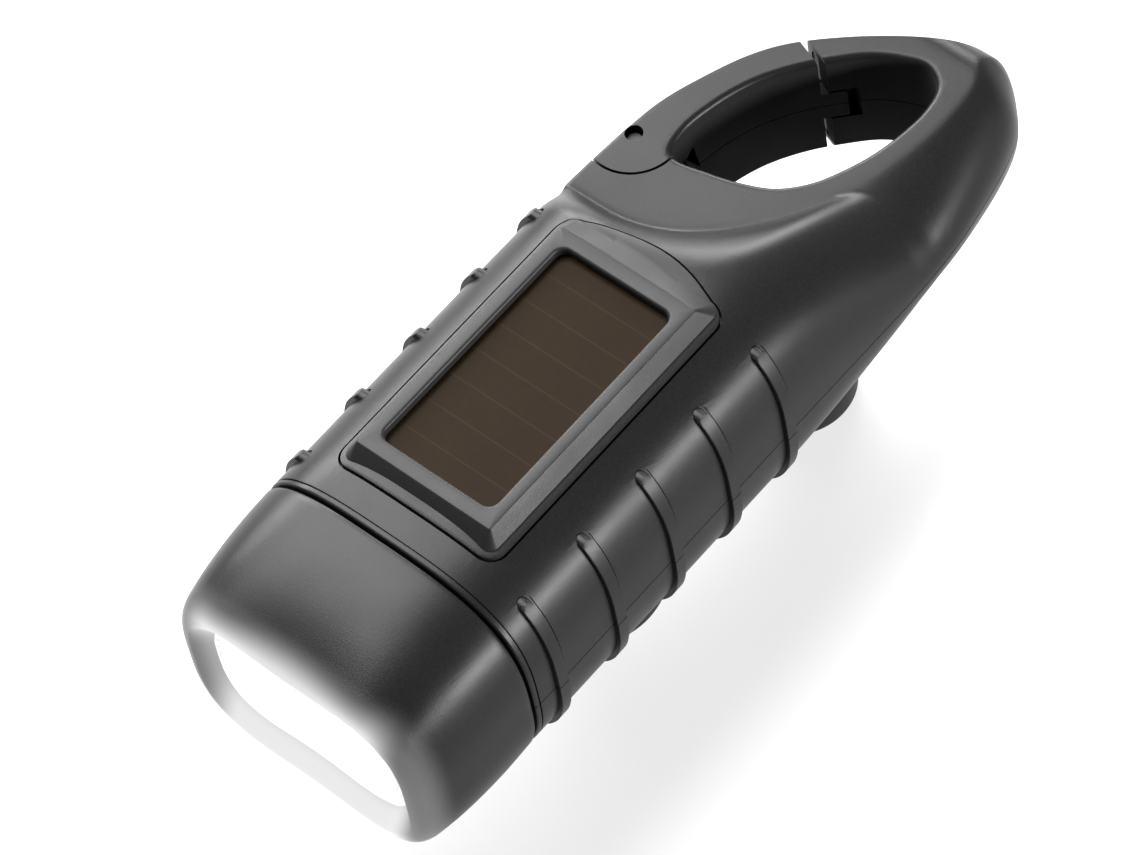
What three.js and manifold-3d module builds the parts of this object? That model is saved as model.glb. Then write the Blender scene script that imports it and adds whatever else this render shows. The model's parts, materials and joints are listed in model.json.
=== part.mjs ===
// Hand crank flashlight with a solar panel on top and a carabiner eye at its tail.
// Millimetres. +Z is the panel side and +Y runs from the lamp head to the eye.
// Every piece is drawn about the parting plane of the two shells, and the whole is set down at the end.
import * as THREE from 'three';
import { mergeVertices } from 'three/addons/utils/BufferGeometryUtils.js';
import Module from 'manifold-3d';

const wasm = await Module();
wasm.setup();

// Fits and general values
const fitGap = 0.3;
const partingGap = 0.3;
const runningGap = 0.25;
const overrun = 2;
const roundSteps = 16;
const quarter = Math.PI / 2;
const quarterDegrees = 90;
const mergeShare = 1e-6;

// Housing, in plan and in section
const bodyHalfWidth = 22.5;
const bodyHalfHeight = 20.1;
const bodySquareness = 3.1;
const bellyHalfHeight = 19;
const bellySquareness = 2.45;
const wall = 2.2;
const seamFromPanel = 28.5;
const headLength = 20.6;
const neckWall = 1.5;
const tailTip = 85;
const shoulderFromPanel = 23;
const cavityEnd = 31.5;

// Carabiner eye
const ringHalfHeight = 10;
const arcCornerInset = 6.2;
const arcEndInset = 13.2;
const flatArcRear = 51.6;
const flatArcDepth = 20.1;
const noseLength = 7;
const eyeEdgeRound = 1;
const edgeMiddleShare = 0.3;
const gateInnerShare = 0.45;
const gateFootShare = 0.83;
const gateTipShare = 0.7;
const pinSteps = 20;
const pivotInset = 2.7;
const pivotY = 43.6;
const knuckleRadius = 6.5;
const knuckleGap = 0.4;
const lugHalfHeight = 3.7;
const pinRadius = 1;
const pinRecess = 1.4;
const gateGap = 1.3;
const tongueLength = 2.3;
const tongueThickness = 2.2;
const tongueHalfHeight = 2.7;
const notchSpare = 1.6;
const springPocket = 3.9;
const springRoomHalf = 1.9;
const springSpareDegrees = 7;
const springRadius = 2.5;
const springPitch = 0.85;
const wireRadius = 0.28;

// Grip ribs
const ribCount = 5;
const ribPitch = 11.65;
const ribWidth = 2;
const ribRise = 0.65;
const ribHalfSpan = 14.6;
const ribRoundShare = 0.98;
const ribSteps = 2;
const firstRib = -23.5;

// Solar panel and its frame
const rimRise = 1.9;
const rimHalfWidth = 11.3;
const rimFront = -20.25;
const rimRear = 20.7;
const windowHalfWidth = 9.4;
const windowHalfLength = 18.1;
const windowChamfer = 0.5;
const windowCorner = 1.5;
const frameHalfWidth = 13.5;
const frameFront = -23;
const frameRear = 23.9;
const frameBulge = 2.5;
const frameCorner = 2.5;
const frameLip = 0.35;
const bevelInset = 0.8;
const bevelDrop = 2.4;
const rimCorner = 0.3;
const cellBorder = 0.9;
const cellThickness = 2.8;
const cellDepth = 1.6;
const panWall = 1.9;

// Lamp head
const headWall = 2;
const seamWidth = 0.35;
const lipThickness = 2.2;
const lipCrest = 0.7;
const glassInset = 6.4;
const glassDrop = 8.9;
const glassLedge = 1;
const glassThickness = 1.8;
const cupCount = 3;
const cupRadius = 6.3;
const cupDepth = 9;
const cupThroat = 2.9;
const cupWall = 0.8;
const flangeThickness = 1.2;
const pegRadius = 0.9;
const cupSteps = 3;
const ledSteps = 2;
const lampSteps = 12;
const ledRadius = 2.5;
const ledFlange = 2.9;
const ledFlangeThickness = 1;
const ledLength = 6.2;
const boardThickness = 1.2;
const boardRim = 0.8;

// Crank
const crankX = 3.3;
const crankY = 0;
const crankLength = 44;
const armThickness = 4.6;
const armGap = 0.5;
const armHubRadius = 11.5;
const armEndRadius = 8.6;
const armLeaveDegrees = 25;
const armPull = 8;
const armBevel = 1;
const armSocket = 1.7;
const armWeb = 0.9;
const seatRadius = 9.6;
const knobRadius = 9;
const knobHeight = 7;
const knobRound = 1.4;
const knobDish = 0.5;
const knobEaseShare = 0.3;
const knobSteps = 28;
const knobPinRadius = 1.8;
const knobPinHead = 3.2;
const knobPinHeadThickness = 1.2;
const knobPinCover = 1;
const shaftRadius = 2.2;
const journalRadius = 1.5;
const bushWall = 1.2;
const bushFlange = 1.4;
const bushFlangeThickness = 1;
const clipRadius = 3.2;
const clipThickness = 0.5;
const clipFit = 0.25;
const capRadius = 5;
const capThickness = 0.8;
const crankScrewRadius = 1.1;
const crankScrewHead = 2.3;
const crankScrewHeadThickness = 0.7;
const crankScrewLength = 7;

// Gear train
const driveTeeth = 30;
const wheelTeeth = 24;
const pinionTeeth = 10;
const toothModule = 0.64;
const gearThickness = 2;
const levelGap = 0.9;
const axleRadius = 1;
const axleSeat = 2;
const hubWall = 0.7;
const secondDegrees = 136;
const thirdDegrees = 19;
const rotorDegrees = 135;
const trainLift = 6.35;
const plateThickness = 1.2;
const plateMargin = 3.4;
const postRadius = 2.1;
const postGap = 1.1;
const postAside = 3;
const plateScrewCount = 2;
const plateScrewRadius = 0.7;
const plateScrewHead = 1.7;
const plateScrewHeadThickness = 0.9;
const plateScrewLength = 6;

// Generator
const magnetRadius = 6;
const magnetHeight = 7;
const magnetLift = 0.9;
const yokeThickness = 3.2;
const yokeWidth = 2.6;
const yokeGap = 0.7;
const yokeReach = 13;
const poleReach = 4;
const poleLap = 1.5;
const bobbinRadius = 4.6;
const bobbinFlange = 0.8;
const bobbinCore = 2.9;
const coilRadius = 4.1;
const coilGap = 0.25;
const padRadius = 1.4;

// Battery, circuit and switch
const cellRadius = 7.4;
const cellHeight = 5.8;
const cellCount = 3;
const batteryY = -19.4;
const circuitInset = 10.5;
const circuitFront = -25.6;
const circuitRear = -13.6;
const circuitTab = 4;
const circuitPostRadius = 1.6;
const switchDepth = 3.6;
const switchHalf = 3;
const plungerRadius = 1.2;
const plungerOut = 1;
const plungerIn = 0.8;
const buttonTravel = 0.6;
const buttonRadius = 3.2;
const buttonProud = 0.9;
const buttonFlange = 0.9;
const buttonFlangeThickness = 0.9;
const buttonY = -17.7;
const domeShare = 0.3;

// Case screws
const screwRadius = 1.1;
const screwHead = 2.2;
const screwHeadThickness = 1.3;
const screwLength = 12.5;
const screwSeat = 7;
const limbScrewSeat = 6;
const bossRadius = 2.7;
const wellWall = 1.1;
const slotWidth = 0.6;
const slotDepth = 0.5;
const limbScrewInset = 8.6;
const limbScrewY = 72.5;

// Places worked out from the sizes above
const seamY = -seamFromPanel;
const frontY = seamY - headLength;
const halfGap = partingGap / 2;
const flatArcCorner = arcCornerInset - bodyHalfWidth;
const flatArcHalfWidth = bodyHalfWidth - arcEndInset - flatArcCorner;
const glassHalfWidth = bodyHalfWidth - glassInset;
const glassHalfHeight = bodyHalfHeight - glassDrop;
const cupPitch = 2 * (glassHalfWidth + glassLedge - cupRadius - cupWall) / (cupCount - 1);
const circuitHalfWidth = bodyHalfWidth - circuitInset;
const limbScrewX = bodyHalfWidth - limbScrewInset;
const pivotX = pivotInset - bodyHalfWidth;
const rimHeight = bodyHalfHeight + rimRise;

// Finishes
function plastic(color, roughness = 0.55) {
  return new THREE.MeshStandardMaterial({ color, roughness, metalness: 0 });
}
function metal(color, roughness = 0.35) {
  return new THREE.MeshStandardMaterial({ color, roughness, metalness: 1 });
}
const finishes = {
  housing: plastic(0x3b3b3d),
  frame: plastic(0x4a4a4c, 0.5),
  crank: plastic(0x2f2f31, 0.5),
  cell: plastic(0x3f3022, 0.15),
  clear: new THREE.MeshStandardMaterial({ color: 0xf2f6fa, roughness: 0.08, metalness: 0 }),
  mirror: metal(0xe8e8ea, 0.12),
  led: plastic(0xfff6d8, 0.2),
  board: plastic(0x1f5a34, 0.5),
  gear: plastic(0xd9d6cc, 0.45),
  steel: metal(0xb4b6ba),
  brass: metal(0xb08d4a),
  magnet: metal(0x55565c, 0.45),
  copper: metal(0xb0683a),
  battery: plastic(0x2f6fa8, 0.4),
  button: plastic(0x222224, 0.6),
};

// The whole flashlight
const flashlight = new THREE.Group();

function add(name, shape, finish) {
  const geometry = shape.isBufferGeometry ? shape : geometryOf(shape);
  const mesh = new THREE.Mesh(geometry, finishes[finish].clone());
  mesh.name = name;
  flashlight.add(mesh);
  return mesh;
}

// A closed geometry as a solid that can be joined and cut
function solid(geometry) {
  const bare = new THREE.BufferGeometry();
  bare.setAttribute('position', geometry.getAttribute('position'));
  if (geometry.index) bare.setIndex(geometry.index);
  const merged = mergeVertices(bare, mergeShare * bodyHalfWidth);
  const corners = merged.index.array;
  const kept = [];
  for (let i = 0; i < corners.length; i += 3) {
    const [a, b, c] = corners.slice(i, i + 3);
    if (a !== b && b !== c && c !== a) kept.push(a, b, c);
  }
  return new wasm.Manifold(new wasm.Mesh({
    numProp: 3,
    vertProperties: new Float32Array(merged.attributes.position.array),
    triVerts: new Uint32Array(kept),
  }));
}

function geometryOf(body) {
  const mesh = body.getMesh();
  const geometry = new THREE.BufferGeometry();
  const points = new Float32Array(mesh.numVert * 3);
  for (let i = 0; i < mesh.numVert; i++) {
    for (let k = 0; k < 3; k++) points[3 * i + k] = mesh.vertProperties[mesh.numProp * i + k];
  }
  geometry.setAttribute('position', new THREE.BufferAttribute(points, 3));
  geometry.setIndex(new THREE.BufferAttribute(new Uint32Array(mesh.triVerts), 1));
  geometry.computeVertexNormals();
  return geometry;
}

// A closed skin over rings of equally many points, with a fan over each end
function loft(rings) {
  const count = rings[0].length;
  const points = rings.flat();
  const index = [];
  for (let r = 0; r + 1 < rings.length; r++) {
    for (let i = 0; i < count; i++) {
      const j = (i + 1) % count;
      const a = r * count + i;
      const b = r * count + j;
      index.push(a, b, a + count, b, b + count, a + count);
    }
  }
  for (const end of [0, rings.length - 1]) {
    const centre = rings[end].reduce((sum, p) => sum.add(p), new THREE.Vector3()).divideScalar(count);
    points.push(centre);
    for (let i = 0; i < count; i++) {
      const a = end * count + i;
      const b = end * count + (i + 1) % count;
      if (end) index.push(a, b, points.length - 1);
      else index.push(b, a, points.length - 1);
    }
  }
  const geometry = new THREE.BufferGeometry().setFromPoints(points);
  geometry.setIndex(index);
  return solid(facingOut(geometry));
}

// Turns every face over when the enclosed volume comes out negative
function facingOut(geometry) {
  const at = geometry.attributes.position;
  const index = geometry.index.array;
  const [a, b, c] = [new THREE.Vector3(), new THREE.Vector3(), new THREE.Vector3()];
  let volume = 0;
  for (let i = 0; i < index.length; i += 3) {
    a.fromBufferAttribute(at, index[i]);
    b.fromBufferAttribute(at, index[i + 1]);
    c.fromBufferAttribute(at, index[i + 2]);
    volume += a.dot(b.cross(c));
  }
  if (volume < 0) {
    for (let i = 0; i < index.length; i += 3) [index[i], index[i + 1]] = [index[i + 1], index[i]];
  }
  return geometry;
}

function prism(shape, low, high, steps = roundSteps) {
  const geometry = new THREE.ExtrudeGeometry(shape, {
    depth: high - low, bevelEnabled: false, curveSegments: steps,
  });
  return solid(geometry.translate(0, 0, low));
}

// A straight prism whose outline is drawn in the Y, Z plane and which runs along X
function prismX(shape, low, high, steps = roundSteps) {
  const geometry = new THREE.ExtrudeGeometry(shape, {
    depth: high - low, bevelEnabled: false, curveSegments: steps,
  });
  return solid(geometry.translate(0, 0, low).rotateY(quarter).rotateX(quarter));
}

function block(lowX, highX, lowY, highY, lowZ, highZ) {
  const geometry = new THREE.BoxGeometry(highX - lowX, highY - lowY, highZ - lowZ);
  return solid(geometry.translate((lowX + highX) / 2, (lowY + highY) / 2, (lowZ + highZ) / 2));
}

// A turned piece: pairs of radius and height from the axis back to the axis, standing along Z
function turned(profile, x, y, steps = roundSteps) {
  const points = profile.map(([radius, height]) => new THREE.Vector2(radius, height));
  return solid(new THREE.LatheGeometry(points, steps).rotateX(quarter).translate(x, y, 0));
}

function rod(radius, x, y, low, high, steps = roundSteps) {
  return turned([[0, low], [radius, low], [radius, high], [0, high]], x, y, steps);
}

function roundedRect(left, right, low, high, radius) {
  const shape = new THREE.Shape();
  shape.moveTo(left + radius, low);
  shape.lineTo(right - radius, low);
  shape.absarc(right - radius, low + radius, radius, -quarter, 0);
  shape.lineTo(right, high - radius);
  shape.absarc(right - radius, high - radius, radius, 0, quarter);
  shape.lineTo(left + radius, high);
  shape.absarc(left + radius, high - radius, radius, quarter, 2 * quarter);
  shape.lineTo(left, low + radius);
  shape.absarc(left + radius, low + radius, radius, 2 * quarter, 3 * quarter);
  return shape;
}

function mix(a, b, share) {
  return a + (b - a) * share;
}

function clamp01(value) {
  return Math.min(1, Math.max(0, value));
}

// Plan outline of the tail at the parting plane, in shares of the half width and of the tail's length
const tailLength = tailTip - shoulderFromPanel;
const leftEdgeShares = [
  [-1, 0], [-0.99, 0.14], [-0.975, 0.25], [-0.95, 0.36], [-0.915, 0.44], [-0.835, 0.53], [-0.705, 0.64],
  [-0.55, 0.72], [-0.31, 0.8], [-0.085, 0.86], [0.14, 0.912], [0.3, 0.955], [0.39, 0.985], [0.46, 1],
];
const rightEdgeShares = [
  [1, 0], [1.005, 0.25], [1.005, 0.44], [0.98, 0.59], [0.917, 0.73], [0.85, 0.83], [0.77, 0.9],
  [0.64, 0.955], [0.53, 0.988], [0.46, 1],
];
const creaseShares = [
  [0.413, 0.4625], [0.498, 0.578], [0.564, 0.7], [0.573, 0.79], [0.55, 0.864], [0.46, 0.925], [0.44, 1],
];

function readEdge(shares, y) {
  const along = clamp01((y - shoulderFromPanel) / tailLength);
  let i = 0;
  while (i + 2 < shares.length && shares[i + 1][1] < along) i++;
  const [x0, s0] = shares[i];
  const [x1, s1] = shares[i + 1];
  const before = shares[Math.max(i - 1, 0)];
  const after = shares[Math.min(i + 2, shares.length - 1)];
  const t = clamp01((along - s0) / (s1 - s0));
  const slope0 = (x1 - before[0]) / (s1 - before[1]) * (s1 - s0);
  const slope1 = (after[0] - x0) / (after[1] - s0) * (s1 - s0);
  const t2 = t * t;
  const t3 = t2 * t;
  const share = (2 * t3 - 3 * t2 + 1) * x0 + (t3 - 2 * t2 + t) * slope0
    + (3 * t2 - 2 * t3) * x1 + (t3 - t2) * slope1;
  return share * bodyHalfWidth;
}

// Rear end of the rounded shoulder: the curve where it runs out on the eye's flat
const arcPower = 2.4;
const arcSpareShare = 0.2;
function arcY(x) {
  const share = Math.max(0, (x - flatArcCorner) / flatArcHalfWidth);
  const past = Math.max(0, share - 1);
  const spare = arcSpareShare * (1 - Math.exp(-past * arcPower / arcSpareShare));
  return flatArcRear - flatArcDepth * (1 - Math.pow(Math.min(share, 1), arcPower) - spare);
}

function arcX(y) {
  const share = clamp01(1 - (flatArcRear - y) / flatArcDepth);
  return flatArcCorner + flatArcHalfWidth * Math.pow(share, 1 / arcPower);
}

// How far a point still lies up the shoulder, from 1 at the panel to 0 on the flat
function shoulder(x, y) {
  const end = arcY(x);
  return clamp01((end - y) / (end - shoulderFromPanel));
}

const pointsPerQuarter = 8;
const limbSwellShare = 0.06;
const limbSquareness = 2;
const leftSquareness = 18;
const cornerHoldShare = 2.2;
const middleShare = 0.2;
const creaseEndShare = 0.06;

// One ring round the housing at a station along Y, set in by an offset
function bodyRing(y, inset, points = pointsPerQuarter) {
  const along = clamp01((y - shoulderFromPanel) / tailLength);
  const left = readEdge(leftEdgeShares, y) + inset;
  const right = readEdge(rightEdgeShares, y) - inset;
  const inTail = y > flatArcRear;
  const reach = Math.pow(1 - Math.pow(1 / (1 + limbSwellShare), limbSquareness), 1 / limbSquareness);
  const settle = clamp01((y - shoulderFromPanel) / (flatArcRear - shoulderFromPanel));
  const crease = inTail ? readEdge(creaseShares, y) : arcX(y);
  const limbCrease = readEdge(creaseShares, Math.max(y, flatArcRear));
  const rear = (limbCrease - reach * right) / (1 - reach);
  const middle = THREE.MathUtils.clamp(mix((left + right) / 2, rear, settle),
    mix(left, right, middleShare), mix(right, left, middleShare));
  const leftDrop = clamp01(1 - cornerHoldShare * shoulder(left, y));
  const nose = y > tailTip - noseLength
    ? Math.sqrt(Math.max(0, 1 - ((y - tailTip + noseLength) / noseLength) ** 2)) : 1;
  const sideSquareness = (c, square) => (
    c < 0 ? mix(square, leftSquareness, leftDrop) : mix(square, limbSquareness, settle));
  const place = (angle, fullHeight, square) => {
    const c = Math.cos(angle);
    const power = 2 / sideSquareness(c, square);
    const half = c < 0 ? middle - left : right - middle;
    const x = middle + Math.sign(c) * half * Math.pow(Math.abs(c), power);
    const t = shoulder(x, y);
    const cap = ringHalfHeight + (fullHeight - ringHalfHeight) * Math.sin(quarter * t) - inset;
    const side = Math.pow(Math.abs(Math.sin(angle)), power);
    return [x, nose * Math.min((1 + limbSwellShare * (1 - t)) * cap * side, cap)];
  };
  const nearest = mix(left, right, creaseEndShare);
  const furthest = mix(right, left, creaseEndShare);
  const held = THREE.MathUtils.clamp(crease, nearest, furthest);
  const side = held < middle ? -1 : 1;
  const half = side < 0 ? middle - left : right - middle;
  const ring = [];
  const halves = [[1, bodyHalfHeight, bodySquareness], [-1, bellyHalfHeight, bellySquareness]];
  for (const [up, fullHeight, square] of halves) {
    const across = Math.pow(Math.abs(held - middle) / half, sideSquareness(side, square) / 2);
    const creaseAngle = Math.acos(side * across);
    const angles = [];
    for (let i = 0; i < points; i++) angles.push(mix(Math.PI, creaseAngle, i / points));
    for (let i = 0; i < points; i++) angles.push(mix(creaseAngle, 0, i / points));
    angles.push(0);
    const places = angles.map((angle) => place(angle, fullHeight, square));
    if (up < 0) places.reverse();
    for (const [x, z] of places.slice(0, -1)) ring.push(new THREE.Vector3(x, y, up * z));
  }
  return ring;
}

// Stations along the housing: sparse on the straight grip, close together round the shoulder and the nose
const shoulderSteps = 3;
const arcSteps = 7;
const arcSkip = 2;
const limbSteps = 5;
const noseSteps = 4;
const noseEndShare = 0.96;
function housingStations() {
  const flatFront = flatArcRear - flatArcDepth;
  const noseStart = tailTip - noseLength;
  const stations = [seamY, firstRib, shoulderFromPanel];
  for (let i = 1; i <= shoulderSteps; i++) {
    stations.push(mix(shoulderFromPanel, flatFront, i / shoulderSteps));
  }
  for (let i = arcSkip; i <= arcSteps; i++) {
    stations.push(flatFront + flatArcDepth * Math.pow(i / arcSteps, arcPower));
  }
  for (let i = 1; i <= limbSteps; i++) stations.push(mix(flatArcRear, noseStart, i / limbSteps));
  for (let i = 1; i <= noseSteps; i++) {
    stations.push(noseStart + noseLength * Math.sin(quarter * noseEndShare * i / noseSteps));
  }
  return stations;
}

function housingBulk() {
  let bulk = loft(housingStations().map((y) => bodyRing(y, 0)));
  for (let i = 0; i < ribCount; i++) {
    const y = firstRib + i * ribPitch;
    const swollen = loft([y - ribWidth, y + ribWidth].map((at) => bodyRing(at, -ribRise)));
    const half = ribWidth / 2;
    const stadium = roundedRect(y - half, y + half, -ribHalfSpan, ribHalfSpan, half * ribRoundShare);
    bulk = bulk.add(swollen.intersect(prismX(stadium, -2 * bodyHalfWidth, 2 * bodyHalfWidth, ribSteps)));
  }
  return bulk;
}

// The eye's opening, in shares of its half width and half length
const eyeX = -2.65;
const eyeY = 59.5;
const limbWidth = 10.45;
const eyeHalfWidth = bodyHalfWidth - limbWidth;
const eyeHalfLength = 15.5;
const eyeShares = [
  [-0.892, -1], [-0.419, -0.955], [0.046, -0.852], [0.328, -0.742], [0.585, -0.535], [0.759, -0.284],
  [0.909, 0.039], [0.983, 0.355], [1, 0.626], [0.917, 0.884], [0.668, 1], [0.402, 0.948], [0.079, 0.813],
  [-0.228, 0.587], [-0.527, 0.316], [-0.784, -0.019], [-0.942, -0.406], [-0.992, -0.755],
];
const eyeSteps = 30;
const eyeCurve = new THREE.CatmullRomCurve3(
  eyeShares.map(([x, y]) => new THREE.Vector3(eyeX + x * eyeHalfWidth, eyeY + y * eyeHalfLength, 0)), true);

function eyePoints(grow) {
  const points = [];
  for (let i = 0; i < eyeSteps; i++) {
    const at = eyeCurve.getPoint(i / eyeSteps);
    const along = eyeCurve.getTangent(i / eyeSteps);
    points.push(new THREE.Vector2(at.x + grow * along.y, at.y - grow * along.x));
  }
  return points;
}

function eyePrism(grow, halfHeight) {
  return prism(new THREE.Shape(eyePoints(grow)), -halfHeight, halfHeight);
}

// The opening with the rounding of its upper and lower edges
function eyeCutter() {
  const tall = ringHalfHeight + overrun;
  const profile = [
    [eyeEdgeRound + overrun, tall], [eyeEdgeRound, ringHalfHeight],
    [eyeEdgeRound * edgeMiddleShare, ringHalfHeight - eyeEdgeRound * edgeMiddleShare],
    [0, ringHalfHeight - eyeEdgeRound],
  ];
  const rings = [...profile, ...profile.slice().reverse().map(([grow, z]) => [grow, -z])];
  return loft(rings.map(([grow, z]) => eyePoints(grow).map((p) => new THREE.Vector3(p.x, p.y, z))));
}

// The gate: the limb from the knuckle to the gap, opening inwards about the pin
const gapTiltDegrees = -19.7;
const gapTilt = THREE.MathUtils.degToRad(gapTiltDegrees);
const gapFromPivot = 26.75;
function fromPivot(across, along) {
  return new THREE.Vector2(
    pivotX + across * Math.cos(gapTilt) - along * Math.sin(gapTilt),
    pivotY + across * Math.sin(gapTilt) + along * Math.cos(gapTilt));
}

// Plan region of the gate up to a line across the limb
function gateRegion(reach) {
  return prism(new THREE.Shape([
    new THREE.Vector2(pivotX, pivotY),
    new THREE.Vector2(eyeX - eyeHalfWidth * gateInnerShare, eyeY - eyeHalfLength * gateFootShare),
    new THREE.Vector2(eyeX, eyeY),
    fromPivot(eyeHalfWidth * gateTipShare, reach),
    fromPivot(-eyeHalfWidth, reach),
    new THREE.Vector2(pivotX - eyeHalfWidth, eyeY),
    new THREE.Vector2(pivotX - eyeHalfWidth, pivotY),
  ]), -ringHalfHeight - overrun, ringHalfHeight + overrun);
}

// A stretch of the limb's inner skin past the gap, which the tongue fills and the notch clears
function innerSkin(depth, low, high, halfHeight) {
  const band = eyePrism(depth, halfHeight).subtract(eyePrism(0, ringHalfHeight + overrun));
  return band.intersect(acrossGap(low, high, halfHeight));
}

// A slab across the limb between two distances from the pivot
function acrossGap(low, high, halfHeight) {
  return prism(new THREE.Shape([
    fromPivot(-eyeHalfWidth, low), fromPivot(eyeHalfWidth, low),
    fromPivot(eyeHalfWidth, high), fromPivot(-eyeHalfWidth, high),
  ]), -halfHeight, halfHeight);
}

function pinDisc(radius, low, high) {
  return rod(radius, pivotX, pivotY, low, high, pinSteps);
}

const halfSpace = 2 * tailTip;
function upperHalf(body) {
  return body.intersect(block(-halfSpace, halfSpace, -halfSpace, halfSpace, halfGap, halfSpace));
}
function lowerHalf(body) {
  return body.intersect(block(-halfSpace, halfSpace, -halfSpace, halfSpace, -halfSpace, -halfGap));
}

// Rounded outline of the solar panel frame, straight in front and bowed at the rear
const frameSteps = 3;
const bowSteps = 8;
function frameRing(z, halfWidth, front, back, bulge, radius) {
  const ring = [];
  const corner = (x, y, from) => {
    for (let i = 0; i <= frameSteps; i++) {
      const angle = from + quarter * i / frameSteps;
      ring.push(new THREE.Vector3(x + radius * Math.cos(angle), y + radius * Math.sin(angle), z));
    }
  };
  corner(-halfWidth + radius, front + radius, 2 * quarter);
  corner(halfWidth - radius, front + radius, 3 * quarter);
  corner(halfWidth - radius, back - radius, 0);
  for (let i = 1; i < bowSteps; i++) {
    const x = mix(halfWidth - radius, radius - halfWidth, i / bowSteps);
    ring.push(new THREE.Vector3(x, back + bulge * Math.sin(Math.PI * i / bowSteps), z));
  }
  corner(-halfWidth + radius, back - radius, quarter);
  return ring;
}

// Heights under the panel
const cellTop = rimHeight - cellDepth;
const frameBottom = cellTop - cellThickness;
const recessFloor = frameBottom - fitGap;

function frameOutline(z, grow) {
  return frameRing(z, frameHalfWidth + grow, frameFront - grow, frameRear + grow,
    frameBulge, frameCorner + grow);
}

function windowRing(z, grow) {
  const middle = (rimFront + rimRear) / 2;
  const half = windowHalfLength + grow;
  return frameRing(z, windowHalfWidth + grow, middle - half, middle + half, 0, windowCorner + Math.max(0, grow));
}

function panelFrame() {
  const top = rimHeight + overrun;
  const swollen = loft(housingStations().slice(0, shoulderSteps + arcSteps - arcSkip)
    .map((y) => bodyRing(y, -frameLip)));
  const base = loft([frameOutline(frameBottom, 0), frameOutline(top, 0)]).intersect(swollen);
  const foot = (z) => frameRing(z, frameHalfWidth - bevelInset, frameFront + bevelInset, frameRear,
    frameBulge - bevelInset, frameCorner - bevelInset);
  const rim = frameRing(rimHeight, rimHalfWidth, rimFront, rimRear, 0, rimCorner);
  const raised = loft([foot(frameBottom), foot(rimHeight - bevelDrop), rim]);
  const seat = cellBorder + fitGap;
  const pocket = loft([windowRing(frameBottom - overrun, seat), windowRing(cellTop + fitGap, seat)]);
  const opening = loft([windowRing(frameBottom, 0), windowRing(rimHeight - windowChamfer, 0),
    windowRing(top, windowChamfer + overrun)]);
  return base.add(raised).subtract(pocket).subtract(opening);
}

function solarCell() {
  return loft([windowRing(frameBottom, cellBorder), windowRing(cellTop, cellBorder)]);
}

// Lamp head: half width and half height from the seam to the front, and the waist between the lamps
const headWidthShares = [
  [1, 0], [0.992, 0.3], [0.97, 0.6], [0.935, 0.86], [0.912, 0.93], [0.885, 0.97], [0.856, 0.992], [0.825, 1],
];
const headHeightShares = [
  [1, 0], [0.985, 0.3], [0.945, 0.6], [0.88, 0.86], [0.85, 0.93], [0.815, 0.97], [0.775, 0.992], [0.73, 1],
];
const waistShare = 0.2;
const rimWaistShare = 0.12;
function readShares(table, at) {
  let i = 0;
  while (i + 2 < table.length && table[i + 1][1] < at) i++;
  const [a, s0] = table[i];
  const [b, s1] = table[i + 1];
  return mix(a, b, clamp01((at - s0) / (s1 - s0)));
}

const headPoints = 32;
function lobed(y, halfWidth, top, bottom, waist, lowerSquareness) {
  const ring = [];
  for (let i = 0; i < headPoints; i++) {
    const angle = 4 * quarter * i / headPoints;
    const c = Math.cos(angle);
    const s = Math.sin(angle);
    const power = 2 / (s < 0 ? lowerSquareness : bodySquareness);
    const across = Math.sign(c) * Math.pow(Math.abs(c), power);
    const up = Math.sign(s) * Math.pow(Math.abs(s), power);
    const dip = 1 - waist * (1 + Math.cos(Math.PI * across)) / 2;
    ring.push(new THREE.Vector3(halfWidth * across, y, (s < 0 ? bottom : top) * up * dip));
  }
  return ring;
}

function headRing(y, inset) {
  const at = clamp01((seamY - y) / headLength);
  const halfWidth = bodyHalfWidth * readShares(headWidthShares, at) - inset;
  const share = readShares(headHeightShares, at);
  const top = bodyHalfHeight * share - inset;
  const bottom = mix(bellyHalfHeight, bodyHalfHeight, at) * share - inset;
  return lobed(y, halfWidth, top, bottom, rimWaistShare * at * at, mix(bellySquareness, bodySquareness, at));
}

// Gear centres, each one mesh away from the last
function pitchRadius(teeth) {
  return toothModule * teeth / 2;
}
function meshedAt(from, teeth, otherTeeth, degrees) {
  const angle = THREE.MathUtils.degToRad(degrees);
  const distance = pitchRadius(teeth) + pitchRadius(otherTeeth);
  return [from[0] + distance * Math.cos(angle), from[1] + distance * Math.sin(angle)];
}
const driveAt = [crankX, crankY];
const secondAt = meshedAt(driveAt, driveTeeth, pinionTeeth, secondDegrees);
const thirdAt = meshedAt(secondAt, wheelTeeth, pinionTeeth, thirdDegrees);
const rotorAt = meshedAt(thirdAt, wheelTeeth, pinionTeeth, rotorDegrees);

// Heights of the three gear levels, counted up from the belly, and of the plate over them
const levelPitch = gearThickness + levelGap;
const driveLevel = trainLift - bellyHalfHeight;
const secondLevel = driveLevel + levelPitch;
const thirdLevel = secondLevel + levelPitch;
const plateBottom = thirdLevel + levelPitch;
const plateTop = plateBottom + plateThickness;

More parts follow.
